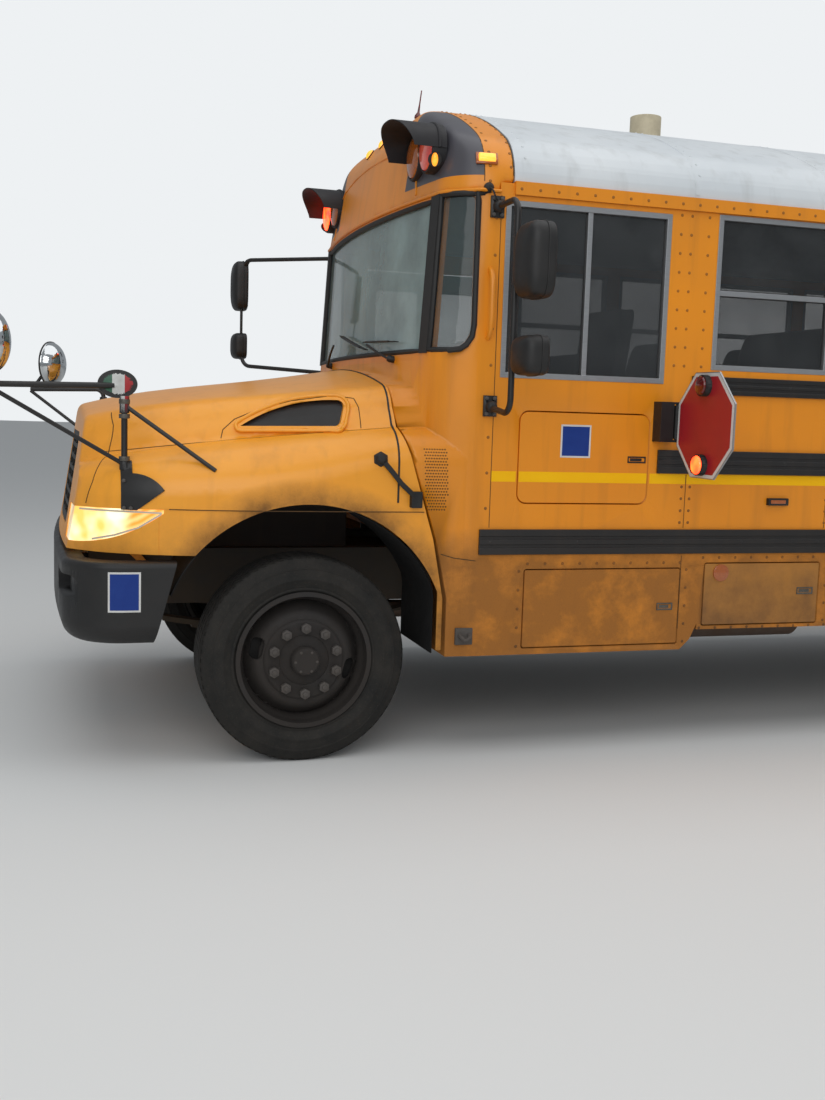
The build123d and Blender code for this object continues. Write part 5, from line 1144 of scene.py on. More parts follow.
# Entrance and emergency doors: black and yellow frames round flush glass, with a
# rubber edge on every leaf and a lever outside the emergency door.
for part, slot, finish in (("entrance_door_front", "black_paint", rail_black),
                           ("entrance_door_rear", "black_paint", rail_black),
                           ("emergency_door", "yellow_paint", body_yellow)):
    leaf = worked(part, part + "_finished", finish, 0.0, 30)
    leaf.data.materials.append(side_glass)
    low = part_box(part)[0]
    for face in leaf.data.polygons:
        # the glass of the emergency door faces back, and that of the entrance leaves faces the side
        axis = 0 if part == "emergency_door" else 1
        if 0.012 < face.center[axis] - low[axis] < 0.022 and abs(face.normal[axis]) > 0.9:
            face.material_index = 1
for part, front, back in (("entrance_door_front", -0.838, -1.231), ("entrance_door_rear", -1.243, -1.636)):
    for number, (z0, z1) in enumerate(((0.475, 1.230), (1.300, 2.279))):
        loop = rounded_loop(back + 0.055, front - 0.055, z0, z1, -1.193, 0.03, 4)
        done(rod(f"{part}_pane_seal_{number + 1}", loop, 0.007, closed=True), rubber, part)
edge = box("entrance_edge_rubber", -1.225, -1.233, -1.175, -1.206, 0.400, 2.380)
done(edge, rubber, "entrance_door_front", 0.002)


def rear_loop(x, y0, y1, z0, z1, radius, side=1):
    """The corners of a rounded rectangle on the rear wall."""
    return [at(x, side * (p.x - AXLE_X), p.z) for p in rounded_loop(y0, y1, z0, z1, 0.0, radius, 4)]


for number, (z0, z1) in enumerate(((1.110, 1.500), (1.640, 2.200))):
    loop = rear_loop(-9.888, -0.254, 0.254, z0, z1, 0.03)
    done(rod(f"emergency_pane_seal_{number + 1}", loop, 0.007, closed=True), rubber, "emergency_door")
lever = [at(-9.902, 0.255, 1.575), at(-9.935, 0.255, 1.575), at(-9.935, 0.220, 1.572), at(-9.933, 0.110, 1.560)]
done(rod("emergency_lever", lever, 0.009, smooth=True), black_abs, "emergency_door")
for z in (1.10, 1.65, 2.18):
    hinge = turned(f"emergency_hinge_{round(z * 100)}", at(-9.905, -0.326, z), (0, 0, 1),
                   [(0.0, -0.055), (0.009, -0.055), (0.009, 0.055), (0.0, 0.055)], 12)
    done(hinge, latch_zinc, "emergency_door", 0.0015)


# Mirrors: moulded black shells on bent steel tube, clamped to bolted brackets.
# The round cross-view domes on the fenders are chromed, with black rims.
def silvered(name, bright, smeared, film_scale, polish, haze):
    """A silvered or chromed face, mirror bright and hazed in patches by a film of dust."""
    material, tree, surface = new_material(name)
    place = add(tree, "ShaderNodeTexCoord").outputs["Object"]
    film = add(tree, "ShaderNodeTexNoise", {"Vector": place, "Scale": film_scale, "Detail": 5.0})
    dull = add(tree, "ShaderNodeMapRange", {"Value": film.outputs[0], "From Min": 0.4, "From Max": 0.8,
                                            "To Min": polish, "To Max": haze})
    tone = add(tree, "ShaderNodeMix", {0: film.outputs[0], 6: linear(bright), 7: linear(smeared)}, data_type="RGBA")
    tree.links.new(tone.outputs[2], surface.inputs["Base Color"])
    tree.links.new(dull.outputs[0], surface.inputs["Roughness"])
    surface.inputs["Metallic"].default_value = 1.0
    return material


def squared(turn, power):
    """A unit circle's point at this turn, its cosine and sine raised to a power that squares the corners."""
    return [math.copysign(abs(share) ** power, share) for share in (math.cos(turn), math.sin(turn))]


mirror_face = silvered("silvered mirror glass", "#D9DDDF", "#C3C7C9", 12.0, 0.03, 0.16)
tube_black = enamel("black mirror tube enamel", "#161616", "#232120", soil="#3A332C", soil_top=1.0, soil_most=0.2,
                    roughness=0.4)
SHELLS = [
    # CAD node, name, middle, depth, width, height
    ("left_mirror", "left_main_shell", (-0.795, 1.580, 2.145), 0.124, 0.212, 0.300),
    ("left_mirror", "left_convex_shell", (-0.795, 1.570, 1.770), 0.112, 0.200, 0.160),
    ("right_mirror", "right_main_shell", (-0.106, -1.595, 2.285), 0.098, 0.190, 0.306),
    ("right_mirror", "right_convex_shell", (-0.106, -1.595, 1.910), 0.092, 0.180, 0.162),
]
for part in ("left_mirror", "right_mirror"):
    arm = worked(part, part + "_arm", tube_black, 0.0, 34)
    # the CAD heads shrink into cores, which the moulded shells cover
    for _, _, middle, deep, wide, tall in [row for row in SHELLS if row[0] == part]:
        core = at(*middle)
        for corner in arm.data.vertices:
            away = corner.co - core
            if abs(away.x) < deep / 2 and abs(away.y) < wide / 2 - 0.002 and abs(away.z) < tall / 2:
                corner.co = core + away * 0.72
for part, name, middle, deep, wide, tall in SHELLS:
    piece = start("cube", name, (0, 0, 0), size=1)
    bpy.ops.object.mode_set(mode="EDIT")
    bpy.ops.mesh.select_all(action="SELECT")
    bpy.ops.mesh.subdivide(number_cuts=15)
    bpy.ops.object.mode_set(mode="OBJECT")
    for corner in piece.data.vertices:
        u = corner.co * 2
        # the back of the shell is domed, and the glass side nearly flat
        dome = 2.8 if u.x > 0 else 14.0
        outline = (abs(u.y) ** 4.2 + abs(u.z) ** 4.2) ** (dome / 4.2) + abs(u.x) ** dome
        u = u / outline ** (1 / dome)
        corner.co = at(*middle) + Vector((u.x * deep / 2, u.y * wide / 2, u.z * tall / 2))
    done(piece, black_abs, angle=50)
    corners = [squared(math.tau * k / 48, 0.476) for k in range(48)]
    rim = [at(middle[0] - deep * 0.20, middle[1] + y * wide / 2, middle[2] + z * tall / 2) for y, z in corners]
    done(rod(name + "_lip", rim, 0.0035, closed=True), black_abs, angle=60)
MIRROR_GLASSES = [
    # name, x of the shell's rear face, y0, y1, z0, z1
    ("left_main", -0.8550, 1.500, 1.660, 2.022, 2.268), ("left_convex", -0.8490, 1.495, 1.645, 1.712, 1.828),
    ("right_main", -0.1530, -1.666, -1.524, 2.157, 2.413), ("right_convex", -0.1500, -1.661, -1.529, 1.851, 1.969),
]
for name, x, y0, y1, z0, z1 in MIRROR_GLASSES:
    glass = box(name + "_mirror_glass", x + 0.002, x - 0.0015, y0, y1, z0, z1)
    done(recessed(glass, (-1, 0, 0), (0.004, 0.0008)), mirror_face, "root", 0.001)
crossview = worked("crossview_mirrors", "crossview_mirrors_finished", tube_black, 0.0, 34)
dome_chrome = silvered("chromed cross-view mirror", "#DADCDD", "#BEC1C2", 18.0, 0.02, 0.12)
banded, tree, surface = new_material("enamelled mirror back in three bands")
place = add(tree, "ShaderNodeTexCoord").outputs["Object"]
along_bus = add(tree, "ShaderNodeSeparateXYZ", {0: place}).outputs["X"]
past_green = add(tree, "ShaderNodeMath", {0: along_bus, 1: at(0.802, 0, 0).x}, operation="LESS_THAN")
past_white = add(tree, "ShaderNodeMath", {0: along_bus, 1: at(0.752, 0, 0).x}, operation="LESS_THAN")
scuffs = add(tree, "ShaderNodeTexNoise", {"Vector": place, "Scale": 30.0, "Detail": 5.0})
white_tone = add(tree, "ShaderNodeMix", {0: scuffs.outputs[0], 6: linear("#D5D6D3"), 7: linear("#A9A8A3")},
                 data_type="RGBA")
outer_bands = add(tree, "ShaderNodeMix", {0: past_green.outputs[0], 6: linear("#2F5C46"), 7: white_tone.outputs[2]},
                  data_type="RGBA")
bands = add(tree, "ShaderNodeMix", {0: past_white.outputs[0], 6: outer_bands.outputs[2], 7: linear("#A5272B")},
            data_type="RGBA")
tree.links.new(bands.outputs[2], surface.inputs["Base Color"])
surface.inputs["Roughness"].default_value = 0.35
crossview.data.materials.append(dome_chrome)
crossview.data.materials.append(banded)
CHROME, BANDED = 1, 2
DOMES = [
    # middle, way the mirror faces, reach, finish
    (at(1.268, 1.100, 1.752), Vector((math.cos(math.radians(195)), math.sin(math.radians(195)), 0)), 0.135, CHROME),
    (at(1.040, -1.110, 1.735), Vector((math.cos(math.radians(218)), -math.sin(math.radians(218)), 0)), 0.135, CHROME),
    (at(0.780, 1.008, 1.606), Vector((0, -1, 0)), 0.085, CHROME),
    (at(0.780, 1.008, 1.606), Vector((0, 1, 0)), 0.085, BANDED),
]
for face in crossview.data.polygons:
    for middle, way, reach, finish in DOMES:
        offset = face.center - middle
        if offset.length < reach and offset.dot(way) > (0.0052 if finish == CHROME else 0.0050):
            face.material_index = finish
# hose clamps on the posts, and ball joints on the side mirror's brackets
clamp = start("cylinder", "clamp", (0, 0, 0), vertices=20, radius=0.0225, depth=0.020)
pick(clamp, lambda middle, normal: abs(normal.z) > 0.9)
bpy.ops.mesh.inset(thickness=0.004, depth=-0.002)
bpy.ops.object.mode_set(mode="OBJECT")
places = [(at(0.752, side * 1.000, z), Vector((0, 0, 1))) for side in (1, -1) for z in (1.300, 1.475, 1.535)]
done(repeated("crossview_clamps", clamp, places), latch_zinc, "hood", 0.0015)
discard(clamp)
joint = start("uv_sphere", "joint", (0, 0, 0), segments=20, ring_count=12, radius=0.026)
places = [(at(-0.775, 1.232, z), Vector((0, 1, 0))) for z in (2.405, 1.562)]
done(repeated("left_mirror_ball_joints", joint, places), black_abs)
discard(joint)
bolt = hexagon_nut(0.0085, 0.007)
places = [(at(x, 1.2188, z), Vector((0, 1, 0))) for x in (-0.793, -0.757) for z in (2.372, 2.438, 1.532, 1.598)]
done(repeated("left_mirror_bracket_bolts", bolt, places), nut_steel)
foot_bolts = []
for side in (1, -1):
    corners = [at(x, side * 1.4, z) for x, z in ((0.755, 1.10), (0.755, 1.21), (0.728, 1.10))]
    foot_bolts += traced("crossview_mirrors", corners, (0, -side, 0))
done(repeated("crossview_foot_bolts", bolt, foot_bolts), nut_steel, "hood")
discard(bolt)


# Stop sign: a red sheet octagon with a white edge on a folding arm. It has a
# lamp above and below the blank middle, on both faces.
red_sheet = sheeting("red retroreflective sheeting", "#B3202A", "#98242A", 0.34, 8.0, 5.0)
SIGN = at(-1.655, 1.5145, 1.510)
SIGN_FLAT = 0.2285
SHEETS = [
    # name, finish, half width over its flats, place in front of the sign's middle plane
    ("border", white_sheet, SIGN_FLAT - 0.004, 0.0042), ("red", red_sheet, SIGN_FLAT - 0.019, 0.0049),
]
sign = worked("stop_sign", "stop_sign_finished", aluminium, 0.0, 30)
sign.data.materials.append(black_abs)
for face in sign.data.polygons:
    if abs(face.center.x - SIGN.x) > 0.0045 or face.center.y < 1.292:
        face.material_index = 1
for side, name in ((1, "front"), (-1, "rear")):
    for layer, finish, flat, lift in SHEETS:
        sheet = start("circle", f"stop_sign_{name}_{layer}", (0, 0, 0), vertices=8, fill_type="NGON")
        reach = flat / math.cos(math.pi / 8)
        for k, corner in enumerate(sheet.data.vertices):
            turn = math.tau * (k + 0.5) / 8 * side
            corner.co = SIGN + Vector((side * lift, reach * math.cos(turn), reach * math.sin(turn)))
        done(thickened(sheet, 0.0008), finish, "stop_sign")


def lens(name, colour, deep, glow, strength, pattern=90.0):
    """Moulded acrylic lens: clear gloss outside, with small prisms inside; a lit one glows in brighter patches."""
    material, tree, surface = new_material(name)
    place = add(tree, "ShaderNodeTexCoord").outputs["Object"]
    prisms = add(tree, "ShaderNodeTexVoronoi", {"Vector": place, "Scale": pattern})
    shade = add(tree, "ShaderNodeTexNoise", {"Vector": place, "Scale": 11.0, "Detail": 2.0})
    tone = add(tree, "ShaderNodeMix", {0: prisms.outputs["Distance"], 6: linear(colour), 7: linear(deep)},
               data_type="RGBA")
    tree.links.new(tone.outputs[2], surface.inputs["Base Color"])
    surface.inputs["Roughness"].default_value = 0.12
    surface.inputs["Coat Weight"].default_value = 0.6
    surface.inputs["Coat Roughness"].default_value = 0.04
    surface.inputs["Emission Strength"].default_value = strength
    if strength:
        hot = add(tree, "ShaderNodeMapRange", {"Value": shade.outputs[0], "From Min": 0.35, "From Max": 0.65})
        lit = add(tree, "ShaderNodeMix", {0: hot.outputs[0], 6: linear(colour), 7: linear(glow)}, data_type="RGBA")
        tree.links.new(lit.outputs[2], surface.inputs["Emission Color"])
    bump = add(tree, "ShaderNodeBump", {"Height": prisms.outputs["Distance"], "Strength": 0.2, "Distance": 0.001})
    tree.links.new(bump.outputs[0], surface.inputs["Normal"])
    return material


red_dark = lens("dark red acrylic lens", "#7A1512", "#4A0D0C", "#7A1512", 0.0)
red_lit = lens("lit red acrylic lens", "#F42A18", "#D01C12", "#FF5A22", 5.0)
# the near front red lens glows faintly: painted reflection of the light falling on it
red_reflection_glow = lens("red acrylic lens with a glow of painted reflection", "#C23A30", "#8E211C", "#E06A50", 0.35)
# the unlit amber lens glows faintly: painted light that keeps it orange in the shade of its hood
amber_faintly_glowing = lens("amber acrylic lens", "#B4621F", "#8A4615", "#B4621F", 0.06)
amber_lit = lens("lit amber acrylic lens", "#F28A1A", "#D96E10", "#FFC24A", 1.3)
faded_amber = lens("faded amber reflector", "#B4622C", "#9A4F22", "#B4622C", 0.0, 260.0)
clear_lens = lens("clear acrylic lens", "#CFCFCB", "#9C9C98", "#CFCFCB", 0.0)
LENS_PROFILE = [(0.0, -0.004), (0.040, -0.004), (0.040, 0.003), (0.036, 0.008), (0.026, 0.0115), (0.013, 0.0135),
                (0.0, 0.014)]
for side, name in ((1, "front"), (-1, "rear")):
    for z, finish, level in ((0.170, red_dark, "upper"), (-0.170, red_lit, "lower")):
        glass = turned(f"stop_sign_{name}_{level}_lens", SIGN + Vector((side * 0.032, 0, z)), (side, 0, 0),
                       LENS_PROFILE, 32)
        done(glass, finish, "stop_sign")
worked("stop_arm_bracket", "stop_arm_housing", black_abs, 0.006, 34)


# Warning lamps: a red lamp outboard and an amber one inboard, in moulded black
# housings. One wide sheet hood, screwed to the cap, shades each pair.
hood_black = moulded("matt black lamp hood", "#121114", "#1F1C20", 0.002, 0.5)
PAIRS = [
    # end, x of the lamp plane, way it faces, inner y, outer y, z
    ("front", -0.560, 1, 0.770, 0.965, 2.665), ("rear", -9.930, -1, 0.640, 0.850, 2.560),
]
LAMP_GLASS = [(0.0, 0.0), (0.0885, 0.0), (0.0885, 0.030), (0.084, 0.038), (0.070, 0.0435), (0.050, 0.047),
              (0.025, 0.0485), (0.0, 0.049)]
LAMP_HOUSING = [(0.0, -0.030), (0.1010, -0.030), (0.1010, 0.024), (0.0975, 0.034), (0.0925, 0.036), (0.0890, 0.034),
                (0.0890, 0.006), (0.0, 0.006)]
HOOD_TALL = 0.127


def lamp_hood(name, middle, half, way):
    """A wide arch of sheet over a pair of lamps, its front cut back towards its lower corners."""
    sheet = start("grid", name, (0, 0, 0), x_subdivisions=40, y_subdivisions=8, size=1)
    for corner in sheet.data.vertices:
        across, rise = squared(math.pi * (corner.co.x + 0.5), 0.80)
        front = 0.118 + 0.075 * abs(rise) ** 1.4
        reach = -0.028 + (front + 0.028) * (corner.co.y + 0.5)
        corner.co = middle + Vector((way * reach, across * half, abs(rise) * HOOD_TALL - 0.006))
    return thickened(sheet, 0.004)


for end, x, way, inner, outer, z in PAIRS:
    for side, name in SIDES:
        red = red_lit if side < 0 or end == "rear" else red_reflection_glow
        for y, colour, finish in ((inner, "amber", amber_faintly_glowing), (outer, "red", red)):
            lamp, centre = f"{name}_{end}_{colour}", at(x, side * y, z)
            housing = turned(lamp + "_housing", centre, (way, 0, 0), LAMP_HOUSING, 40)
            done(housing, hood_black)
            if lamp == "left_front_amber":
                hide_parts("warning_lamps")
            done(turned(lamp + "_lens", centre, (way, 0, 0), LAMP_GLASS, 40), finish)
        middle = at(x, side * (inner + outer) / 2, z)
        half = (outer - inner) / 2 + 0.104
        done(lamp_hood(f"{name}_{end}_lamp_hood", middle, half, way), hood_black, angle=50)
        # the hood's rolled flange stands on the cap
        flange = [middle + Vector((way * 0.004, across * half, abs(rise) * HOOD_TALL - 0.006))
                  for across, rise in (squared(math.pi * k / 32, 0.80) for k in range(33))]
        done(rod(f"{name}_{end}_hood_flange", flange, 0.009), hood_black, angle=50)


# Marker lamps: small moulded lenses on flat bases, amber in front and red at the
# back, with faded reflectors low on the side.
marker = start("cube", "marker", (0, 0, 0.009), size=1, scale=(0.074, 0.034, 0.022))
recessed(marker, (0, 0, 1), (0.006, 0.005))
dome_lens = start("uv_sphere", "dome", (0, 0, 0), segments=16, ring_count=10, radius=0.024)
for corner in dome_lens.data.vertices:
    corner.co = (corner.co.x * 0.62, corner.co.y * 1.25, corner.co.z * 0.85)
corner_spots, dome_spots = [], []
for side in (1, -1):
    corner_spots += struck(cap_surface, at(-0.728, side * 1.6, 2.604), Vector((0, -side, 0)))
for y, z in ((0.0, 2.885), (0.215, 2.873), (-0.215, 2.873)):
    dome_spots += struck(cap_surface, at(0.5, y, z), BACKWARD)
# the outer pair stands on the lamp housings
dome_spots += [(at(-0.540, side * 1.052, 2.610), Vector((0.3, side, -0.45)).normalized()) for side in (1, -1)]
REAR_WALL = -9.900
rear_spots = [(at(REAR_WALL, y, z), BACKWARD)
              for y, z in ((0.0, 2.90), (0.16, 2.895), (-0.16, 2.895), (1.05, 2.43), (-1.05, 2.43))]
done(repeated("front_corner_markers", marker, corner_spots), amber_lit, "root", 0.003)
done(repeated("front_clearance_lamps", dome_lens, dome_spots), amber_lit)
done(repeated("rear_clearance_lamps", dome_lens, rear_spots), red_dark)
marker_base = start("cube", "marker_base", (0, 0, 0.004), size=1, scale=(0.096, 0.052, 0.012))
done(repeated("front_corner_marker_bases", marker_base, corner_spots), faded_amber, "root", 0.004)
base = start("cylinder", "base", (0, 0, 0.002), vertices=24, radius=0.030, depth=0.006)
recessed(base, (0, 0, 1), (0.005, -0.001))
done(repeated("clearance_lamp_bases", base, dome_spots + rear_spots), black_abs, "root", 0.001)
for pattern in (marker, dome_lens, marker_base, base):
    discard(pattern)
REFLECTOR = [(0.0, -0.002), (0.040, -0.002), (0.040, 0.006), (0.034, 0.009), (0.0, 0.010)]
REFLECTORS = [
    # name, side, x, finish, body
    ("side_reflector_left", 1, -1.968, faded_amber, "luggage_door"),
    ("reflector_middle_left", 1, -5.55, faded_amber, "root"), ("reflector_rear_left", 1, -9.60, red_dark, "root"),
    ("reflector_middle_right", -1, -5.55, faded_amber, "root"), ("reflector_rear_right", -1, -9.60, red_dark, "root"),
    ("reflector_front_right", -1, -1.95, faded_amber, "root"),
]
for name, side, x, finish, body in REFLECTORS:
    done(turned(name, at(x, side * SIDE, 0.823), (0, side, 0), REFLECTOR, 32), finish, body)
for side, name in SIDES:
    body = box(f"side_lamp_{name}", -2.191, -2.301, side * (SIDE - 0.003), side * (SIDE + 0.020), 1.143, 1.177)
    done(recessed(body, (0, side, 0), (0.006, -0.004)), black_abs, "root", 0.003)
    glass = box(f"side_lamp_lens_{name}", -2.205, -2.287, side * (SIDE + 0.010), side * (SIDE + 0.0185), 1.151, 1.169)
    done(glass, faded_amber, "root", 0.003)


# Rear of the body: round stop and turn lamps in black rings, a blank plate with
# its screws, and the steel bumper channel.
tails = worked("tail_lamps", "tail_lamps_finished", red_dark, 0.004, 34)
tails.data.materials.append(clear_lens)
tails.data.materials.append(faded_amber)
for face in tails.data.polygons:
    face.material_index = 1 if face.center.z < 1.08 else (2 if face.center.z < 1.30 else 0)
for side, name in SIDES:
    for y, z, radius in ((1.040, 1.420, 0.088), (1.040, 1.200, 0.088), (1.060, 1.010, 0.050)):
        section = [(radius - 0.001, -0.002), (radius + 0.014, -0.002), (radius + 0.012, 0.012),
                   (radius + 0.004, 0.018), (radius - 0.001, 0.016)]
        ring = turned(f"tail_ring_{name}_{round(z * 100)}", at(REAR_WALL, side * y, z), BACKWARD, section, 40)
        done(ring, rubber)
worked("rear_bumper", "rear_bumper_finished", rail_black, 0.0, 34)
plate = box("rear_blank_plate", -9.9005, -9.9025, 0.548, 0.852, 0.934, 1.086)
done(plate, aluminium, "root", 0.001)
screw_places = [(at(-9.9025, 0.700 + y, 1.010 + z), BACKWARD) for y in (-0.0889, 0.0889) for z in (-0.0603, 0.0603)]
done(repeated("rear_plate_screws", rivet, screw_places), latch_zinc)
edge_rivets = [(at(REAR_WALL, y, 0.80 + 0.10 * k), BACKWARD) for y in (1.175, -1.175) for k in range(17)]
edge_rivets += [(at(REAR_WALL, y, 0.98 + 0.11 * k), BACKWARD) for y in (-0.36, 0.36) for k in range(13)]
done(repeated("rear_rivets", rivet, edge_rivets), rivet_shade_darkened)
for side, name in SIDES:
    loop = rear_loop(-9.890, 0.450, 1.020, 1.640, 2.230, 0.02, side)
    done(rod(f"rear_window_seal_{name}", loop, 0.013, closed=True), rubber)


# Roof fittings: two lift-up escape hatches in moulded frames, a cream vent and a
# whip aerial.
hatch_white = enamel("moulded white hatch shell", "#D3D6D6", "#BFC2C0", soil="#8D8C86", soil_top=2.4, soil_most=0.3,
                     roughness=0.5)
worked("roof_hatches", "roof_hatches_finished", hatch_white, 0.012, 34)
for x, name in ((-3.600, "front"), (-7.600, "rear")):
    lid = box(f"{name}_hatch_lid", x - 0.280, x + 0.280, -0.280, 0.280, 3.060, 3.076)
    done(lid, hatch_white, "root", 0.007, 3)
    grip = [at(x + 0.300, y, z) for y, z in ((-0.060, 3.0635), (-0.060, 3.080), (0.060, 3.080), (0.060, 3.0635))]
    done(rod(f"{name}_hatch_grip", grip, 0.006), black_abs)
cream = moulded("cream weathered polyethylene", "#CBBFA2", "#A99D84", 0.004, 0.5)
worked("roof_vent", "roof_vent_shell", cream, 0.006, 34)
vent_top = turned("roof_vent_cap", at(-2.080, 0, 3.150), (0, 0, 1),
                  [(0.0, 0.018), (0.050, 0.0175), (0.078, 0.012), (0.0835, 0.0), (0.0835, -0.030), (0.079, -0.034),
                   (0.0, -0.034)], 40)
done(vent_top, cream)
spot = skin("front_cap").ray_cast(at(-0.640, 0.450, 3.5), Vector((0, 0, -1)))[0]
aerial = turned("aerial_base", spot, (-0.12, 0, 1), [(0.0, -0.006), (0.017, -0.006), (0.016, 0.006), (0.006, 0.022),
                                                     (0.0035, 0.060), (0.0028, 0.125), (0.0, 0.126)], 16)
done(aerial, red_dark)


# Inside: a ribbed rubber floor, steps with yellow nosings, a grey moulded
# dashboard with its wheel, and an aluminium grab rail by the entrance.
floor_rubber, tree, surface = new_material("ribbed rubber floor covering")
place = add(tree, "ShaderNodeTexCoord").outputs["Object"]
# the ribs are 12 mm apart, drawn 24 mm apart so that they show
ribs = add(tree, "ShaderNodeTexWave", {"Vector": place, "Scale": 13.0}, bands_direction="Y")
scuff = add(tree, "ShaderNodeTexNoise", {"Vector": place, "Scale": 6.0, "Detail": 6.0})
tone = add(tree, "ShaderNodeMix", {0: scuff.outputs[0], 6: linear("#1C1C1C"), 7: linear("#3B3935")}, data_type="RGBA")
tree.links.new(tone.outputs[2], surface.inputs["Base Color"])
surface.inputs["Roughness"].default_value = 0.75
ribbed = add(tree, "ShaderNodeBump", {"Height": ribs.outputs["Fac"], "Strength": 0.4, "Distance": 0.002})
tree.links.new(ribbed.outputs[0], surface.inputs["Normal"])
worked("floor", "floor_covered", floor_rubber, 0.0, 30)
worked("entrance_steps", "entrance_steps_covered", floor_rubber, 0.003, 30)
dash_grey = moulded("grey moulded dashboard", "#3A3A3B", "#4A4845", 0.0025, 0.6)
worked("dashboard", "dashboard_moulded", dash_grey, 0.008, 30)
worked("steering_wheel", "steering_wheel_moulded", black_abs, 0.0, 34)
frame_black = enamel("black seat frame enamel", "#1A1A1B", "#262524", soil="#3A332C", soil_top=0.9, soil_most=0.1,
                     roughness=0.5)
worked("seat_frames", "seat_frames_finished", frame_black, 0.002, 30)
gauges = box("instrument_panel", -0.762, -0.772, 0.45, 0.83, 1.50, 1.62)
done(gauges, black_abs, "root", 0.004)
for number, (y, z) in enumerate(((-1.1655, 0.400), (-0.9605, 0.590), (-0.7805, 0.770))):
    nose = box(f"step_nosing_{number + 1}", -0.875, -1.600, y, y + 0.030, z - 0.001, z + 0.003)
    done(nose, stripe_sheet, "root", 0.001)
rail = [at(-1.690, -0.560, 0.952), at(-1.690, -0.560, 1.700), at(-1.690, -0.620, 1.780), at(-1.690, -1.150, 1.785)]
done(rod("entrance_grab_rail", rail, 0.016), aluminium)
barrier = box("barrier_panel_right", -1.940, -1.965, -0.230, -1.150, 1.150, 1.900)
done(barrier, frame_black, "root", 0.010, 3)
for y in (-0.26, -1.12):
    leg = rod(f"barrier_leg_{round(-y * 100)}", [at(-1.952, y, 0.949), at(-1.952, y, 1.20)], 0.014)
    done(leg, frame_black)


# Bench seats: crowned foam cushions and tall padded backs in black coated fabric,
# on black steel frames. The driver has a single seat on a steel box, with a belt.
seat_vinyl, tree, surface = new_material("black coated seat vinyl")
place = add(tree, "ShaderNodeTexCoord").outputs["Object"]
wear = add(tree, "ShaderNodeTexNoise", {"Vector": place, "Scale": 5.0, "Detail": 5.0})
tone = add(tree, "ShaderNodeMix", {0: wear.outputs[0], 6: linear("#17181B"), 7: linear("#2A2B2F")}, data_type="RGBA")
tree.links.new(tone.outputs[2], surface.inputs["Base Color"])
surface.inputs["Roughness"].default_value = 0.55
surface.inputs["Sheen Weight"].default_value = 0.2
# leather grain about 4 mm across
grain = add(tree, "ShaderNodeTexVoronoi", {"Vector": place, "Scale": 260.0})
grained = add(tree, "ShaderNodeBump", {"Height": grain.outputs["Distance"], "Strength": 0.3, "Distance": 0.001})
tree.links.new(grained.outputs[0], surface.inputs["Normal"])


def pad(name, size, crown, cuts):
    """A crowned foam pad, its edges rounded and its sides pulled in between the corners, centred on the origin."""
    piece = start("cube", name, (0, 0, 0), size=1)
    bpy.ops.object.mode_set(mode="EDIT")
    bpy.ops.mesh.select_all(action="SELECT")
    bpy.ops.mesh.subdivide(number_cuts=cuts)
    bpy.ops.object.mode_set(mode="OBJECT")
    thin = min(range(3), key=lambda axis: size[axis])
    for corner in piece.data.vertices:
        u = corner.co * 2
        bow = 1.0
        for axis in range(3):
            if axis != thin:
                bow *= 1 - u[axis] ** 4
        place = [u[axis] * (size[axis] / 2 - (crown if axis == thin else 0.0)) for axis in range(3)]
        place[thin] += math.copysign(crown * bow, u[thin]) if abs(u[thin]) > 0.99 else u[thin] * crown * bow
        for axis in range(3):
            if axis != thin:
                pull = 0.006 * (1 - u[thin] ** 2)
                place[axis] -= math.copysign(pull, u[axis]) if abs(u[axis]) > 0.99 else 0.0
        corner.co = place
    rounder = piece.modifiers.new("rounder", "SUBSURF")
    rounder.levels = rounder.render_levels = 1
    bpy.ops.object.modifier_apply(modifier="rounder")
    return piece


def placed(pattern, name, move):
    """A copy of a pad with its own mesh, every point moved by a rule."""
    piece = bpy.data.objects.new(name, pattern.data.copy())
    bpy.context.scene.collection.objects.link(piece)
    for corner in piece.data.vertices:
        corner.co = move(corner.co)
    return done(piece, seat_vinyl, angle=60)


cushion = pad("cushion", (0.400, 0.946, 0.126), 0.022, 7)
backrest = pad("backrest", (0.094, 0.946, 0.764), 0.012, 7)
ROWS = 11
for row in range(ROWS):
    x = -2.330 - WINDOW_PITCH * row
    for side, name in SIDES:
        y = side * 0.665

        def lie(spot):
            return at(x + 0.010 + spot.x, y + spot.y, 1.312 + spot.z)

        def lean(spot):
            return at(x - 0.262 + spot.x - 0.1015 * (spot.z / 0.382), y + spot.y, 1.630 + spot.z)

        bench = placed(cushion, f"bench_cushion_{name}_{row + 1}", lie)
        placed(backrest, f"bench_back_{name}_{row + 1}", lean)
        if row == 0 and side > 0:
            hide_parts("seat_cushions")
driver_cushion = pad("driver_cushion", (0.480, 0.460, 0.125), 0.020, 7)
driver_back = pad("driver_back", (0.105, 0.440, 0.700), 0.014, 7)
seat = placed(driver_cushion, "driver_seat_cushion", lambda spot: at(-1.320 + spot.x, 0.640 + spot.y, 1.310 + spot.z))
placed(driver_back, "driver_seat_back",
       lambda spot: at(-1.556 + spot.x - 0.045 * (spot.z / 0.35), 0.640 + spot.y, 1.705 + spot.z))
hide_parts("driver_seat")
for pattern in (cushion, backrest, driver_cushion, driver_back):
    discard(pattern)
pedestal = box("driver_seat_pedestal", -1.490, -1.190, 0.490, 0.790, 0.949, 1.252)
pick(pedestal, lambda middle, normal: abs(normal.z) < 0.1)
bpy.ops.mesh.inset(thickness=0.035, depth=-0.012, use_individual=True)
done(pedestal, frame_black, "root", 0.004)
BELT = [(-1.30, 0.420, 1.372), (-1.33, 0.55, 1.381), (-1.35, 0.70, 1.381), (-1.36, 0.850, 1.372)]
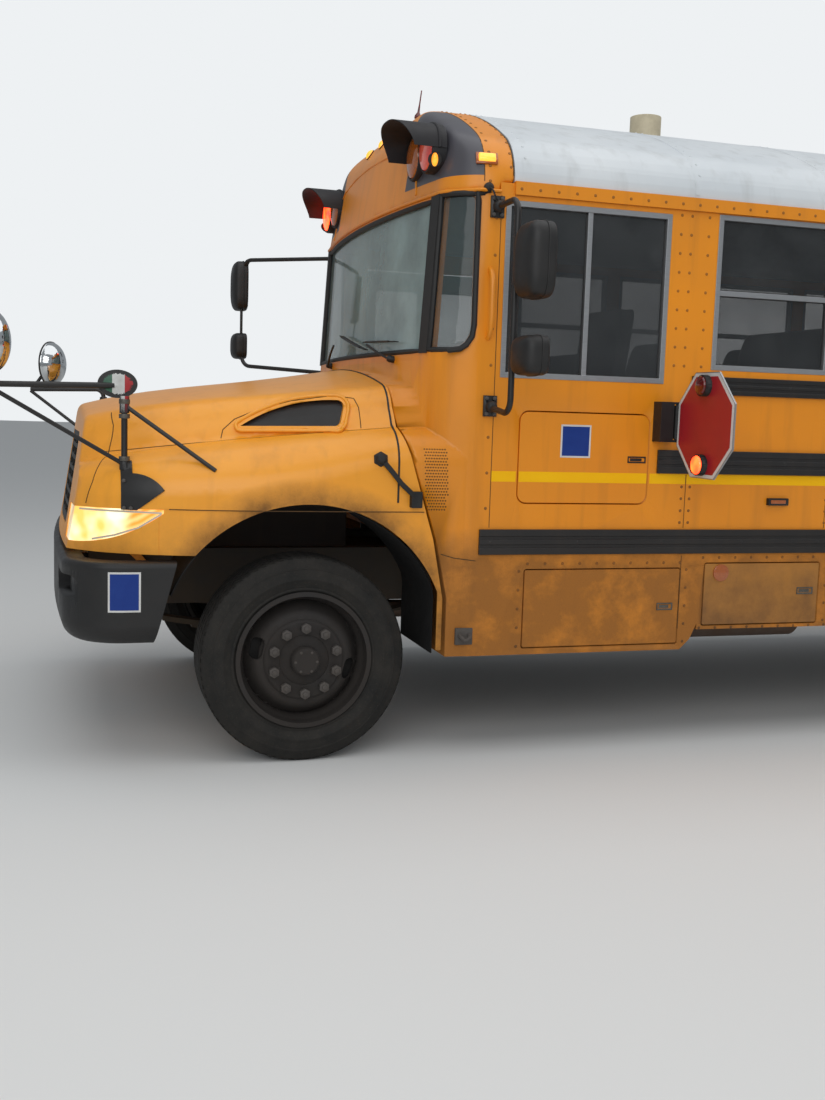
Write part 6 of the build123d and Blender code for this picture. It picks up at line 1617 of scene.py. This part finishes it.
belt = [(at(*spot), Vector((0, 0, 1))) for spot in BELT]
done(strip("driver_belt", belt, 0.048, 0.0025), frame_black)


# Small fittings by the driver: wipers, a grab handle, the cable grommet, the
# steel hook plate and the punched vent ahead of the door.
WIPERS = [
    # name, pivot y, elbow y and z, blade ends as y, z
    ("near", 0.700, (0.430, 1.845), (0.300, 1.862), (0.745, 1.848)),
    ("far", -0.470, (-0.240, 1.868), (-0.185, 1.918), (0.330, 1.825)),
]
for name, pivot_y, elbow, tip, heel in WIPERS:
    pivot = screen_spot(pivot_y, 1.768, -0.002)
    hub = turned(f"{name}_wiper_pivot", pivot, (1, 0, 0.15), [(0.0, -0.020), (0.016, -0.020), (0.016, 0.020),
                                                              (0.011, 0.030), (0.0, 0.030)], 20)
    done(hub, black_abs, "root", 0.002)
    joint_spot = screen_spot(elbow[0], elbow[1], -0.040)
    arm = [pivot + Vector((0.020, 0, 0)), pivot.lerp(joint_spot, 0.5) + Vector((0.020, 0, 0)), joint_spot]
    done(rod(f"{name}_wiper_arm", arm, 0.006, smooth=True), black_abs)
    blade = [(tip[0] + (heel[0] - tip[0]) * k / 8, tip[1] + (heel[1] - tip[1]) * k / 8) for k in range(9)]
    spots = [(screen_spot(y, z, 0.0), Vector((1, 0, 0.06)).normalized()) for y, z in blade]
    done(strip(f"{name}_wiper_blade", spots, 0.004, 0.024), rubber)
    yoke = [spot + outward * 0.026 for spot, outward in spots[1:8]]
    done(rod(f"{name}_wiper_yoke", yoke, 0.0045), black_abs)
handle = [at(-0.755, y, z) for y, z in ((1.195, 1.850), (1.243, 1.862), (1.247, 2.000), (1.243, 2.138), (1.195, 2.150))]
done(rod("driver_grab_handle", handle, 0.011, smooth=True), body_yellow)
grommet = turned("cable_grommet", at(-0.735, 1.206, 2.482), (0, 1, 0),
                 [(0.0, -0.004), (0.022, -0.004), (0.022, 0.006), (0.012, 0.016), (0.0, 0.018)], 20)
done(grommet, rubber)
lead = [at(-0.735, 1.216, 2.482), at(-0.738, 1.250, 2.470), at(-0.752, 1.245, 2.440), at(-0.768, 1.236, 2.425)]
done(rod("mirror_lead", lead, 0.004, smooth=True), rubber)
for side, name in SIDES:
    corners = [at(x, side * 1.5, z) for x, z in ((-0.548, 0.926), (-0.640, 0.900), (-0.738, 0.888))]
    lap = traced("cowl", corners, (0, -side, 0), 3)
    done(strip(f"{name}_cowl_lap", lap, 0.004, 0.0012), seam_dark)
hook = box("hook_plate", -0.655, -0.735, 1.198, 1.214, 0.515, 0.590)
done(hook, nut_steel, "root", 0.003)
ring = [at(-0.672, 1.212, 0.560), at(-0.672, 1.236, 0.556), at(-0.695, 1.240, 0.534), at(-0.718, 1.236, 0.556),
        at(-0.718, 1.212, 0.560)]
done(rod("hook_loop", ring, 0.008, smooth=True), nut_steel)
cowl_skin = skin("cowl")
# each hole is a thin dark disc on the cowl, painted shade for the open hole
hole = start("cylinder", "hole", (0, 0, 0), vertices=6, radius=0.0038, depth=0.0012)
HOLE_PITCH = 0.0115
for side, name in SIDES:
    holes = []
    for row in range(21):
        z = 1.112 + 0.0130 * row
        # the field of holes leans forward and bulges back at its middle
        first = -0.508 + (z - 1.11) * 0.055
        last = -0.602 - 0.010 * math.sin((z - 1.11) / 0.27 * math.pi)
        for k in range(int((first - last) / HOLE_PITCH)):
            x = first - HOLE_PITCH * k - (0.0057 if row % 2 else 0.0)
            holes += struck(cowl_skin, at(x, side * 1.5, z), Vector((0, -side, 0)))
    done(repeated(f"{name}_punched_vent", hole, holes), seam_dark)
discard(hole)
discard(rivet)
